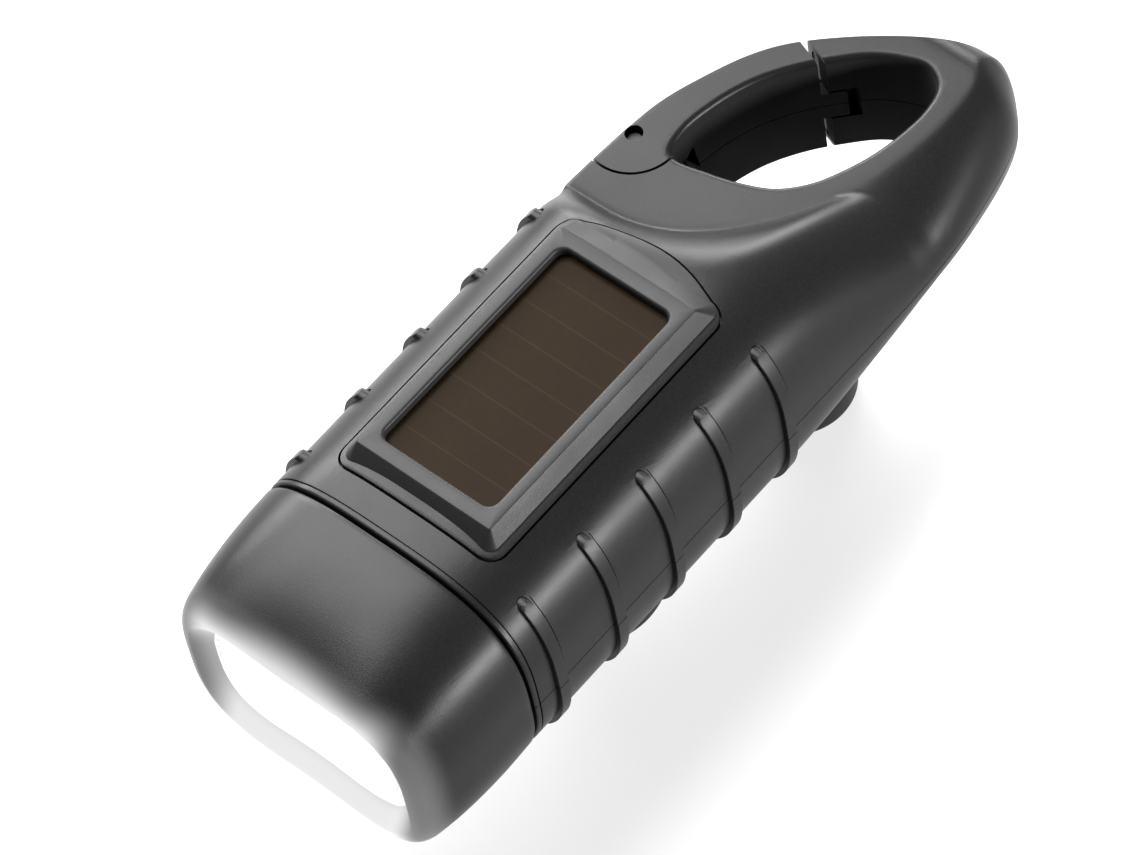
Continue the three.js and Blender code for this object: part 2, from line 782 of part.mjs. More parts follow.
// Places of posts and case screws, in shares of the housing's half width and of the grip's half length
const postShares = [[-0.693, 0.877], [-0.56, -0.33], [0.551, 1.004]];
const sidePost = [crankX + pitchRadius(driveTeeth) + toothModule + postGap + postRadius, crankY + postAside];
const postPlaces = [...postShares.map(([x, y]) => [x * bodyHalfWidth, y * seamFromPanel]), sidePost];
const platePlaces = postPlaces.slice(1, 1 + plateScrewCount);
const bossShares = [[0.72, -0.842], [-0.72, -0.863], [-0.764, -0.091], [0.782, 0.968]];
const bossPlaces = bossShares.map(([x, y]) => [x * bodyHalfWidth, y * seamFromPanel]);
const circuitPostShares = [[-0.42, -0.84], [0.42, -0.84], [0, -0.53]];
const circuitPosts = circuitPostShares.map(([x, y]) => [x * bodyHalfWidth, y * seamFromPanel]);

// Places along the lamp head, from the front backwards
const lensFront = frontY + lipThickness + fitGap;
const lensBack = lensFront + glassThickness;
const reflectorFront = lensBack + fitGap;
const cupEnd = reflectorFront + cupDepth;
const ledFront = cupEnd + fitGap;
const ledBack = ledFront + ledFlangeThickness;
const boardFront = ledBack + fitGap;
const boardBack = boardFront + boardThickness;
const neckEnd = boardBack + fitGap;
const neckOuter = headWall + fitGap;
const neckInner = neckOuter + neckWall;

const postSteps = 8;
const screwSteps = 8;
function together(bodies) {
  return bodies.reduce((sum, body) => sum.add(body));
}

// Solid part of the shells' inside: the room, less the pan under the solar cell
const roomPoints = 4;
const panCeiling = recessFloor - panWall;
function room() {
  const front = seamY + wall;
  const between = housingStations().filter((y, i) => y > front && y < cavityEnd && i % 2 === 0);
  const stations = [front, ...between, cavityEnd];
  const hollow = loft(stations.map((y) => bodyRing(y, wall, roomPoints)));
  const mouth = loft([headRing(neckEnd - overrun, neckInner), headRing(front + overrun, neckInner)]);
  const pan = loft([frameOutline(panCeiling, panWall), frameOutline(rimHeight + overrun, panWall)]);
  return hollow.add(mouth).subtract(pan);
}

// Towers, seats and posts that rise from the shells into the room
const switchX = wall + 2 * fitGap + buttonFlangeThickness + fitGap + plungerOut - bodyHalfWidth;
const circuitTop = -switchHalf - fitGap;
const circuitBottom = circuitTop - boardThickness;
const wellRadius = screwHead + fitGap + wellWall;
function towers() {
  const low = -bellyHalfHeight + wall / 2;
  const wellTop = wellWall - screwSeat;
  const seat = axleRadius + fitGap + hubWall;
  return together([
    ...bossPlaces.map(([x, y]) => rod(bossRadius, x, y, low, bodyHalfHeight - wall / 2, postSteps)),
    ...bossPlaces.map(([x, y]) => rod(wellRadius, x, y, low, wellTop, postSteps)),
    ...postPlaces.map(([x, y]) => rod(postRadius, x, y, low, plateBottom - fitGap, postSteps)),
    ...circuitPosts.map(([x, y]) => rod(circuitPostRadius, x, y, low, circuitBottom - fitGap, postSteps)),
    rod(bushOuter + fitGap + wellWall, crankX, crankY, low, driveLevel - fitGap),
    rod(seat, ...secondAt, low, driveLevel - fitGap, postSteps),
    rod(seat, ...thirdAt, low, secondLevel - fitGap, postSteps),
    rod(seat, ...rotorAt, low, thirdLevel - fitGap, postSteps),
  ]);
}

// Holes for the bush, the axles and all screws
const bushOuter = shaftRadius + runningGap + bushWall;
function shellHoles() {
  const low = -bellyHalfHeight - overrun;
  const axleHole = axleRadius + fitGap;
  const blind = (at, top) => rod(axleHole, ...at, top - fitGap - axleSeat - fitGap, top, postSteps);
  const screwHole = (x, y, seat) => [
    rod(screwHead + fitGap, x, y, low, -seat, 2 * screwSteps),
    rod(screwRadius + fitGap, x, y, -seat - overrun, screwLength - seat + 2 * fitGap, screwSteps),
  ];
  return together([
    rod(bushOuter + fitGap, crankX, crankY, low, driveLevel),
    rod(bushOuter + bushFlange + fitGap, crankX, crankY, low, bushFlangeThickness + fitGap - bellyHalfHeight),
    blind(secondAt, driveLevel),
    blind(thirdAt, secondLevel),
    blind(rotorAt, thirdLevel),
    ...platePlaces.map(([x, y]) => (
      rod(plateScrewRadius + fitGap, x, y, plateTop - plateScrewLength - fitGap, plateTop, screwSteps))),
    ...bossPlaces.flatMap(([x, y]) => screwHole(x, y, screwSeat)),
    ...screwHole(limbScrewX, limbScrewY, limbScrewSeat),
    rodX(buttonRadius + runningGap, -bodyHalfWidth - overrun, wall + overrun - bodyHalfWidth, buttonY, 0),
  ]);
}

// A round bar along X, with its centre at Y and Z
function rodX(radius, low, high, y, z, steps = roundSteps) {
  const profile = [[0, low], [radius, low], [radius, high], [0, high]];
  return turned(profile, 0, 0, steps).rotate([0, quarterDegrees, 0]).translate([0, y, z]);
}

// A round bar along Y, with its centre at X and Z
function turnedY(profile, x, z, steps = roundSteps) {
  return turned(profile, 0, 0, steps).rotate([-quarterDegrees, 0, 0]).translate([x, 0, z]);
}

// The housing before it is parted into its shells
function housing(bulk) {
  const neck = loft([headRing(neckEnd, neckOuter), headRing(seamY + overrun, neckOuter)]);
  const recess = loft([frameOutline(recessFloor, seamWidth), frameOutline(rimHeight + overrun, seamWidth)]);
  const crankSeat = rod(seatRadius, crankX, crankY, -bellyHalfHeight, -bellyHalfHeight / 2, 2 * roundSteps);
  const inside = room().subtract(towers());
  return bulk.add(neck).add(crankSeat).subtract(inside).subtract(recess).subtract(shellHoles());
}

// Where the gate turns: its ears straddle the lug of the housing
const earRecess = knuckleRadius + knuckleGap;
function earRooms(radius) {
  const tall = ringHalfHeight + overrun;
  return pinDisc(radius, lugHalfHeight, tall).add(pinDisc(radius, -tall, -lugHalfHeight));
}

function cutForGate(body, ring) {
  const past = gapFromPivot + gateGap / 2;
  const lug = ring.intersect(pinDisc(knuckleRadius - knuckleGap, -lugHalfHeight, lugHalfHeight));
  const notchDepth = tongueThickness + knuckleGap;
  const notch = eyePrism(notchDepth, tongueHalfHeight + knuckleGap).intersect(acrossGap(
    past - overrun, past + tongueLength + notchSpare, tongueHalfHeight + knuckleGap));
  const pinEnd = ringHalfHeight - pinRecess + fitGap;
  const pinHole = pinDisc(pinRadius + fitGap, -pinEnd, pinEnd);
  return body.subtract(gateRegion(past)).subtract(earRooms(earRecess)).add(lug).subtract(notch)
    .subtract(pinHole).subtract(springRoom());
}

function gate(ring) {
  const short = gapFromPivot - gateGap / 2;
  const past = gapFromPivot + gateGap / 2;
  const tall = ringHalfHeight + overrun;
  const clear = lugHalfHeight + fitGap;
  const limb = ring.intersect(gateRegion(short).add(pinDisc(knuckleRadius, -tall, tall)));
  const tongue = innerSkin(tongueThickness, short - overrun, past + tongueLength, tongueHalfHeight);
  return limb.subtract(pinDisc(knuckleRadius, -clear, clear)).add(tongue)
    .subtract(pinDisc(pinRadius + fitGap, -tall, tall));
}

// Pocket of the gate's spring in the lug, with the slot that its long leg swings in
const gateOpenDegrees = 22;
function springRoom() {
  const reach = knuckleRadius + overrun;
  const spare = THREE.MathUtils.degToRad(springSpareDegrees);
  const from = quarter + gapTilt - THREE.MathUtils.degToRad(gateOpenDegrees) - spare;
  const to = quarter + gapTilt + spare;
  const slot = new THREE.Shape();
  slot.moveTo(pivotX, pivotY);
  slot.lineTo(pivotX + reach * Math.cos(from), pivotY + reach * Math.sin(from));
  slot.lineTo(pivotX + reach * Math.cos(to), pivotY + reach * Math.sin(to));
  const pocket = pinDisc(springPocket, -springRoomHalf, springRoomHalf);
  return pocket.add(prism(slot, -springRoomHalf, springRoomHalf));
}

// A round wire along a path of points, as one closed tube
function wire(path, radius, sides) {
  const rings = path.map((point, i) => {
    const along = path[Math.min(i + 1, path.length - 1)].clone().sub(path[Math.max(i - 1, 0)]).normalize();
    const up = new THREE.Vector3(0, 0, 1);
    const side = new THREE.Vector3().crossVectors(along, up).normalize();
    up.crossVectors(side, along);
    const ring = [];
    for (let k = 0; k < sides; k++) {
      const angle = 4 * quarter * k / sides;
      const sideways = side.clone().multiplyScalar(radius * Math.cos(angle));
      ring.push(point.clone().add(sideways).addScaledVector(up, radius * Math.sin(angle)));
    }
    return ring;
  });
  return loft(rings);
}

// The gate's torsion spring: turns round the pin, one long leg out to the gate and a short one in the pocket
const springTurns = 3;
const wireSides = 5;
const springStepsPerTurn = 8;
function gateSpring() {
  const path = [];
  const steps = springTurns * springStepsPerTurn;
  const start = quarter + gapTilt;
  const rise = springTurns * springPitch;
  for (let i = 0; i <= steps; i++) {
    const angle = start + 4 * quarter * i / springStepsPerTurn;
    const x = pivotX + springRadius * Math.cos(angle);
    const y = pivotY + springRadius * Math.sin(angle);
    path.push(new THREE.Vector3(x, y, rise * (i / steps - 1 / 2)));
  }
  const last = path[steps];
  const legEnd = knuckleRadius - fitGap - wireRadius;
  const out = new THREE.Vector3(Math.cos(start), Math.sin(start), 0);
  path.push(last.clone().addScaledVector(out, wireRadius * 2));
  path.push(last.clone().addScaledVector(out, legEnd - springRadius));
  return wire(path, wireRadius, wireSides);
}

// A spur gear with straight-sided narrow teeth, one of them pointing along the given angle
const tipShare = 0.8;
const rootShare = 1;
const rootWidthShare = 0.22;
const tipWidthShare = 0.1;
function gear(teeth, at, low, high, phase, bore) {
  const root = pitchRadius(teeth) - rootShare * toothModule;
  const tip = pitchRadius(teeth) + tipShare * toothModule;
  const pitch = 4 * quarter / teeth;
  const tooth = [
    [root, -rootWidthShare], [tip, -tipWidthShare], [tip, tipWidthShare], [root, rootWidthShare],
  ];
  const points = [];
  for (let i = 0; i < teeth; i++) {
    for (const [radius, share] of tooth) {
      const angle = phase + pitch * (i + share);
      points.push(new THREE.Vector2(at[0] + radius * Math.cos(angle), at[1] + radius * Math.sin(angle)));
    }
  }
  return prism(new THREE.Shape(points), low, high).subtract(rod(bore, ...at, low - overrun, high + overrun));
}

function bearing(from, to) {
  return Math.atan2(to[1] - from[1], to[0] - from[0]);
}

// Phase that turns a gap of the follower to a tooth of its driver
function facing(follower, driver, teeth) {
  return bearing(follower, driver) + 2 * quarter / teeth;
}

function addGearTrain() {
  const bore = axleRadius + runningGap;
  const hub = bore + hubWall;
  const under = plateBottom - fitGap;
  const driveTop = driveLevel + gearThickness;
  const driveTooth = bearing(driveAt, secondAt);
  const driveBore = shaftRadius + fitGap;
  add('drive_gear', gear(driveTeeth, driveAt, driveLevel, driveTop, driveTooth, driveBore), 'gear');
  const cluster = (at, driver, next, level) => {
    const wheelLow = level + levelPitch;
    const wheelTop = wheelLow + gearThickness;
    const sleeveLow = wheelTop - gearThickness / 2;
    const sleeve = rod(hub, ...at, sleeveLow, under);
    return together([
      gear(pinionTeeth, at, level, wheelLow, facing(at, driver, pinionTeeth), bore),
      gear(wheelTeeth, at, wheelLow, wheelTop, bearing(at, next), bore),
      sleeve.subtract(rod(bore, ...at, sleeveLow - overrun, under + overrun)),
    ]);
  };
  add('second_gear', cluster(secondAt, driveAt, thirdAt, driveLevel), 'gear');
  add('third_gear', cluster(thirdAt, secondAt, rotorAt, secondLevel), 'gear');
  const axle = (at, level) => rod(axleRadius, ...at, level - fitGap - axleSeat, plateTop, postSteps);
  add('second_axle', axle(secondAt, driveLevel), 'steel');
  add('third_axle', axle(thirdAt, secondLevel), 'steel');
}

// The magnet on its shaft above the plate, and its pinion under it
const magnetLow = plateTop + magnetLift;
const magnetTop = magnetLow + magnetHeight;
function addRotor() {
  const shaftLow = thirdLevel - fitGap - axleSeat;
  const pinionTop = thirdLevel + gearThickness;
  const hole = rod(axleRadius + fitGap, ...rotorAt, magnetLow - overrun, magnetTop + overrun);
  const phase = facing(rotorAt, thirdAt, pinionTeeth);
  add('rotor_shaft', rod(axleRadius, ...rotorAt, shaftLow, magnetTop + fitGap, postSteps), 'steel');
  add('rotor_pinion', gear(pinionTeeth, rotorAt, thirdLevel, pinionTop, phase, axleRadius + fitGap), 'brass');
  const magnet = rod(magnetRadius, ...rotorAt, magnetLow, magnetTop);
  add('rotor_magnet', magnet.subtract(hole), 'magnet');
}

// The yoke's two legs reach either side of the magnet, and the coil sits on the bridge between them
const yokeLow = plateTop + fitGap + bobbinRadius - yokeThickness / 2;
const yokeHalf = magnetRadius + yokeGap + yokeWidth;
const legInside = magnetRadius - poleLap + yokeGap;
function addGenerator() {
  const [x, y] = rotorAt;
  const bridgeY = y - yokeReach;
  const high = yokeLow + yokeThickness;
  const middle = yokeLow + yokeThickness / 2;
  const legEnd = y + poleReach;
  const outer = block(x - yokeHalf, x + yokeHalf, bridgeY - yokeWidth / 2, legEnd, yokeLow, high);
  const inner = block(x - legInside, x + legInside, bridgeY + yokeWidth / 2, legEnd + overrun,
    yokeLow - overrun, high + overrun);
  const poles = rod(magnetRadius + yokeGap, x, y, yokeLow - overrun, high + overrun, 2 * roundSteps);
  add('stator_yoke', outer.subtract(inner).subtract(poles), 'steel');
  const end = legInside - fitGap;
  const spool = together([
    rodX(bobbinCore, x - end, x + end, bridgeY, middle),
    rodX(bobbinRadius, x - end, x - end + bobbinFlange, bridgeY, middle),
    rodX(bobbinRadius, x + end - bobbinFlange, x + end, bridgeY, middle),
  ]);
  const slotHalf = yokeWidth / 2 + fitGap;
  const slot = block(x - yokeHalf, x + yokeHalf, bridgeY - slotHalf, bridgeY + slotHalf,
    yokeLow - fitGap, high + fitGap);
  add('bobbin', spool.subtract(slot), 'frame');
  const coilEnd = end - bobbinFlange - coilGap;
  const core = rodX(bobbinCore + coilGap, x - end, x + end, bridgeY, middle);
  add('coil', rodX(coilRadius, x - coilEnd, x + coilEnd, bridgeY, middle).subtract(core), 'copper');
}

// The plate that carries the upper ends of the axles, with two pads under the yoke's legs
function addPlate() {
  const corners = postPlaces.map(([x, y]) => rod(plateMargin, x, y, plateBottom, plateTop, postSteps));
  const outline = wasm.Manifold.hull(corners);
  const [x, y] = rotorAt;
  const legX = (legInside + yokeHalf) / 2;
  const padY = y - magnetRadius - yokeGap;
  const pad = (side) => rod(padRadius, x + side * legX, padY, plateBottom, yokeLow - fitGap, postSteps);
  const below = plateBottom - overrun;
  const above = plateTop + overrun;
  const hole = (radius, at) => rod(radius + fitGap, ...at, below, above, postSteps);
  const holes = together([
    hole(journalRadius, driveAt),
    ...[secondAt, thirdAt, rotorAt].map((at) => hole(axleRadius, at)),
    ...platePlaces.map((at) => hole(plateScrewRadius, at)),
    ...bossPlaces.map((at) => hole(wellRadius, at)),
  ]);
  const ends = [cavityEnd - overrun, seamY + wall + overrun];
  const inWalls = loft(ends.map((end) => bodyRing(end, wall + 2 * fitGap, roomPoints)));
  add('gear_plate', outline.add(pad(-1)).add(pad(1)).intersect(inWalls).subtract(holes), 'steel');
  const low = plateTop - plateScrewLength;
  const under = plateTop + fitGap;
  const top = under + plateScrewHeadThickness;
  platePlaces.forEach(([px, py], i) => {
    add(`plate_screw_${i + 1}`, turned([
      [0, low], [plateScrewRadius, low], [plateScrewRadius, under], [plateScrewHead, under],
      [plateScrewHead, (under + top) / 2], [plateScrewHead / 2, top], [0, top],
    ], px, py, postSteps), 'steel');
  });
}

// Crank levels, counted down from the belly
const armTop = -bellyHalfHeight - armGap;
const armBottom = armTop - armThickness;
const knobTop = armBottom - fitGap;
const knobBottom = knobTop - knobHeight;
const knobAt = [crankX, crankY + crankLength];

// Outline of the arm: two round ends joined by waisted sides
const armArcSteps = 8;
const armSideSteps = 5;
function armRing(z, grow) {
  const leave = THREE.MathUtils.degToRad(armLeaveDegrees);
  const half = [];
  const hub = armHubRadius + grow;
  const end = armEndRadius + grow;
  for (let i = 0; i <= armArcSteps; i++) {
    const angle = mix(-quarter, leave, i / armArcSteps);
    half.push([hub * Math.cos(angle), hub * Math.sin(angle)]);
  }
  const from = new THREE.Vector2(hub * Math.cos(leave), hub * Math.sin(leave));
  const to = new THREE.Vector2(end * Math.cos(leave), crankLength - end * Math.sin(leave));
  const side = new THREE.CubicBezierCurve(
    from, new THREE.Vector2(from.x - armPull * Math.sin(leave), from.y + armPull * Math.cos(leave)),
    new THREE.Vector2(to.x - armPull * Math.sin(leave), to.y - armPull * Math.cos(leave)), to);
  for (let i = 1; i < armSideSteps; i++) half.push(side.getPoint(i / armSideSteps).toArray());
  for (let i = 0; i <= armArcSteps; i++) {
    const angle = mix(-leave, quarter, i / armArcSteps);
    half.push([end * Math.cos(angle), crankLength + end * Math.sin(angle)]);
  }
  const other = half.slice(1, -1).reverse().map(([x, y]) => [-x, y]);
  return [...half, ...other].map(([x, y]) => new THREE.Vector3(crankX + x, crankY + y, z));
}

function addCrank() {
  const webTop = armTop - armSocket;
  const webBottom = webTop - armWeb;
  const capSeat = armBottom + capThickness;
  const pinTop = armTop - knobPinCover;
  const arm = loft([
    armRing(armTop, -armBevel / 2), armRing(armTop - armBevel / 2, 0),
    armRing(armBottom + armBevel, 0), armRing(armBottom, -armBevel),
  ]);
  const holes = together([
    rod(shaftRadius + fitGap, ...driveAt, webTop, armTop + overrun),
    rod(crankScrewRadius + fitGap, ...driveAt, webBottom - overrun, webTop + overrun, postSteps),
    rod(crankScrewHead + fitGap, ...driveAt, armBottom - overrun, webBottom),
    rod(capRadius + fitGap, ...driveAt, armBottom - overrun, capSeat + fitGap, roundSteps),
    rod(knobPinRadius + fitGap, ...knobAt, armBottom - overrun, pinTop, postSteps),
  ]);
  add('crank_arm', arm.subtract(holes), 'crank');
  const headTop = webBottom - fitGap;
  const headBottom = headTop - crankScrewHeadThickness;
  add('crank_screw', turned([
    [0, headBottom], [crankScrewHead, headBottom], [crankScrewHead, headTop], [crankScrewRadius, headTop],
    [crankScrewRadius, headTop + crankScrewLength], [0, headTop + crankScrewLength],
  ], ...driveAt, postSteps), 'steel');
  add('crank_cap', turned([
    [0, armBottom], [capRadius - armBevel / 2, armBottom], [capRadius, armBottom + armBevel / 2],
    [capRadius, capSeat], [0, capSeat],
  ], ...driveAt, roundSteps), 'crank');
  const shaftBottom = webTop + fitGap;
  const gearTop = driveLevel + gearThickness;
  const shoulder = gearTop + fitGap + clipThickness;
  const shaft = turned([
    [0, shaftBottom], [shaftRadius, shaftBottom], [shaftRadius, shoulder], [journalRadius, shoulder],
    [journalRadius, plateTop], [0, plateTop],
  ], ...driveAt);
  add('crank_shaft', shaft.subtract(rod(crankScrewRadius + fitGap, ...driveAt, shaftBottom - overrun,
    headTop + crankScrewLength + fitGap, postSteps)), 'steel');
  add('shaft_clip', rod(clipRadius, ...driveAt, gearTop + fitGap, shoulder + fitGap)
    .subtract(rod(shaftRadius + clipFit, ...driveAt, gearTop, shoulder + overrun)), 'steel');
  const flangeLow = -bellyHalfHeight;
  add('shaft_bush', turned([
    [bushOuter + bushFlange, flangeLow], [bushOuter + bushFlange, flangeLow + bushFlangeThickness],
    [bushOuter, flangeLow + bushFlangeThickness], [bushOuter, driveLevel - fitGap],
    [shaftRadius + runningGap, driveLevel - fitGap], [shaftRadius + runningGap, flangeLow],
    [bushOuter + bushFlange, flangeLow],
  ], ...driveAt), 'brass');
}

function addKnob() {
  const dishTop = knobBottom + knobDish + knobPinHeadThickness + fitGap;
  const ease = knobRound * knobEaseShare;
  const well = knobPinHead + 2 * fitGap;
  const knob = turned([
    [0, dishTop], [well, dishTop], [well, knobBottom + knobDish], [well + knobDish, knobBottom],
    [knobRadius - knobRound, knobBottom], [knobRadius - ease, knobBottom + ease],
    [knobRadius, knobBottom + knobRound], [knobRadius, knobTop - knobRound],
    [knobRadius - ease, knobTop - ease], [knobRadius - knobRound, knobTop], [0, knobTop],
  ], ...knobAt, knobSteps);
  const bore = rod(knobPinRadius + fitGap, ...knobAt, knobBottom - overrun, knobTop + overrun, postSteps);
  add('crank_knob', knob.subtract(bore), 'crank');
  const headLow = knobBottom + knobDish;
  const headHigh = headLow + knobPinHeadThickness;
  const pinTop = armTop - knobPinCover - fitGap;
  add('knob_pin', turned([
    [0, headLow], [knobPinHead * knobEaseShare, headLow], [knobPinHead, headHigh - knobPinHeadThickness / 2],
    [knobPinHead, headHigh], [knobPinRadius, headHigh], [knobPinRadius, pinTop], [0, pinTop],
  ], ...knobAt, postSteps), 'steel');
}

// Lamp head: bezel, lens, reflector tray, three lamps and their board
function windowLobe(y, grow) {
  const halfHeight = glassHalfHeight + grow;
  return lobed(y, glassHalfWidth + grow, halfHeight, halfHeight, waistShare, bodySquareness);
}

function addHead() {
  const noseY = frontY + lipThickness;
  const shares = headWidthShares.map(([, at]) => at);
  const outerStations = shares.map((at) => mix(seamY - seamWidth, frontY, at));
  const bezel = loft(outerStations.map((y) => headRing(y, 0)));
  const innerStations = [seamY, ...outerStations.slice(1).filter((y, i) => y > noseY && i % 2 === 0), noseY];
  const hollow = loft(innerStations.map((y) => headRing(y, headWall)));
  const crest = [headRing(frontY - overrun, lipCrest), headRing(frontY, lipCrest)];
  const window = loft([...crest, windowLobe(noseY, 0), windowLobe(noseY + overrun, 0)]);
  add('head_bezel', bezel.subtract(hollow).subtract(window), 'housing');
  const lensMiddle = (lensFront + lensBack) / 2;
  const lensRings = [windowLobe(lensFront, glassLedge / 2), windowLobe(lensMiddle, glassLedge)];
  add('lens', loft([...lensRings, windowLobe(lensBack, glassLedge)]), 'clear');
  const lampX = (i) => (i - (cupCount - 1) / 2) * cupPitch;
  const lamps = [...Array(cupCount).keys()];
  const bowl = (i, grow) => {
    const profile = [[0, reflectorFront]];
    for (let k = 0; k <= cupSteps; k++) {
      const depth = k / cupSteps;
      const radius = mix(cupThroat, cupRadius, Math.sqrt(1 - depth));
      profile.push([grow + radius, reflectorFront + cupDepth * depth]);
    }
    profile.push([0, cupEnd]);
    return turnedY(profile, lampX(i), 0, lampSteps);
  };
  const flangeEnds = [reflectorFront, reflectorFront + flangeThickness];
  const flange = loft(flangeEnds.map((y) => windowLobe(y, glassLedge)));
  const pegLow = reflectorFront + flangeThickness / 2;
  const pegHigh = boardFront - fitGap;
  const pegProfile = [[0, pegLow], [pegRadius, pegLow], [pegRadius, pegHigh], [0, pegHigh]];
  const pegs = [];
  for (const side of [-1, 1]) {
    for (const up of [-1, 1]) pegs.push(turnedY(pegProfile, side * cupPitch / 2, up * cupRadius, screwSteps));
  }
  const before = reflectorFront - overrun;
  const after = cupEnd + overrun;
  const throatProfile = [
    [0, before], [cupRadius, before], [cupRadius, reflectorFront], [cupThroat, reflectorFront],
    [cupThroat, after], [0, after],
  ];
  const throats = lamps.map((i) => turnedY(throatProfile, lampX(i), 0, lampSteps));
  const tray = together([flange, ...lamps.map((i) => bowl(i, cupWall)), ...pegs]);
  add('reflector', tray.subtract(together([...lamps.map((i) => bowl(i, 0)), ...throats])), 'mirror');
  const names = ['led_left', 'led_middle', 'led_right'];
  const tip = ledBack - ledLength;
  lamps.forEach((i) => {
    const profile = [[0, tip]];
    for (let k = 1; k <= ledSteps; k++) {
      const angle = quarter * k / ledSteps;
      profile.push([ledRadius * Math.sin(angle), tip + ledRadius * (1 - Math.cos(angle))]);
    }
    profile.push([ledRadius, ledFront], [ledFlange, ledFront], [ledFlange, ledBack], [0, ledBack]);
    add(names[i], turnedY(profile, lampX(i), 0, lampSteps), 'led');
  });
  const board = (y) => headRing(y, neckOuter + boardRim);
  add('led_board', loft([board(boardFront), board(boardBack)]), 'board');
}

// Battery stack, circuit board, switch and its button
function addElectrics() {
  const stack = cellCount * cellHeight + (cellCount - 1) * fitGap;
  const cellZ = panCeiling - fitGap - cellRadius;
  for (let i = 0; i < cellCount; i++) {
    const low = i * (cellHeight + fitGap) - stack / 2;
    add(`battery_cell_${i + 1}`, rodX(cellRadius, low, low + cellHeight, batteryY, cellZ), 'battery');
  }
  const tab = block(switchX - fitGap, overrun - circuitHalfWidth, buttonY - circuitTab, circuitRear,
    circuitBottom, circuitTop);
  const board = block(-circuitHalfWidth, circuitHalfWidth, circuitFront, circuitRear,
    circuitBottom, circuitTop);
  add('circuit_board', board.add(tab), 'board');
  const holeEnd = switchX + plungerIn + buttonTravel + fitGap;
  const hole = rodX(plungerRadius + runningGap, switchX - overrun, holeEnd, buttonY, 0, postSteps);
  const box = block(switchX, switchX + switchDepth, buttonY - switchHalf, buttonY + switchHalf,
    -switchHalf, switchHalf);
  add('tact_switch', box.subtract(hole), 'button');
  const plunger = rodX(plungerRadius, switchX - plungerOut, switchX + plungerIn, buttonY, 0, postSteps);
  add('switch_plunger', plunger, 'gear');
  const face = -bodyHalfWidth - buttonProud;
  const flangeLow = wall + 2 * fitGap - bodyHalfWidth;
  const flangeHigh = flangeLow + buttonFlangeThickness;
  const button = turned([
    [0, face], [buttonRadius * domeShare, face], [buttonRadius, face + buttonProud / 2],
    [buttonRadius, flangeLow],
    [buttonRadius + buttonFlange, flangeLow], [buttonRadius + buttonFlange, flangeHigh], [0, flangeHigh],
  ], 0, 0).rotate([0, quarterDegrees, 0]).translate([0, buttonY, 0]);
  add('side_button', button, 'button');
}

// Screws that hold the two shells together, from the belly
function addCaseScrews() {
  const places = [...bossPlaces.map(([x, y]) => [x, y, screwSeat]), [limbScrewX, limbScrewY, limbScrewSeat]];
  places.forEach(([x, y, seat], i) => {
    const under = -seat - fitGap;
    const head = turned([
      [0, under - screwHeadThickness], [screwHead * domeShare, under - screwHeadThickness],
      [screwHead, under - screwHeadThickness / 2], [screwHead, under], [screwRadius, under],
      [screwRadius, under + screwLength], [0, under + screwLength],
    ], x, y, postSteps);
    const headLow = under - screwHeadThickness;
    const slot = block(x - screwHead, x + screwHead, y - slotWidth / 2, y + slotWidth / 2,
      headLow - overrun, headLow + slotDepth);
    add(`case_screw_${i + 1}`, head.subtract(slot), 'steel');
  });
}

// The whole
const bulk = housingBulk().subtract(eyeCutter());
const body = cutForGate(housing(bulk), bulk);
const gateBody = gate(bulk);
add('top_shell', upperHalf(body), 'housing');
add('bottom_shell', lowerHalf(body), 'housing');
add('gate_top', upperHalf(gateBody), 'housing');
add('gate_bottom', lowerHalf(gateBody), 'housing');
add('gate_pin', pinDisc(pinRadius, pinRecess - ringHalfHeight, ringHalfHeight - pinRecess), 'steel');
add('gate_spring', gateSpring(), 'steel');
add('panel_frame', panelFrame(), 'frame');
add('solar_cell', solarCell(), 'cell');
addHead();
addCrank();
addKnob();
addGearTrain();
addRotor();
addGenerator();
addPlate();
addElectrics();
addCaseScrews();

// Set down with the middle of its footprint at the origin
const bounds = new THREE.Box3().setFromObject(flashlight);
const middle = bounds.getCenter(new THREE.Vector3());
flashlight.position.set(-middle.x, -middle.y, -bounds.min.z);

export default flashlight;
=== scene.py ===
import json
import math
import bmesh
import bpy
from mathutils import Matrix, Vector

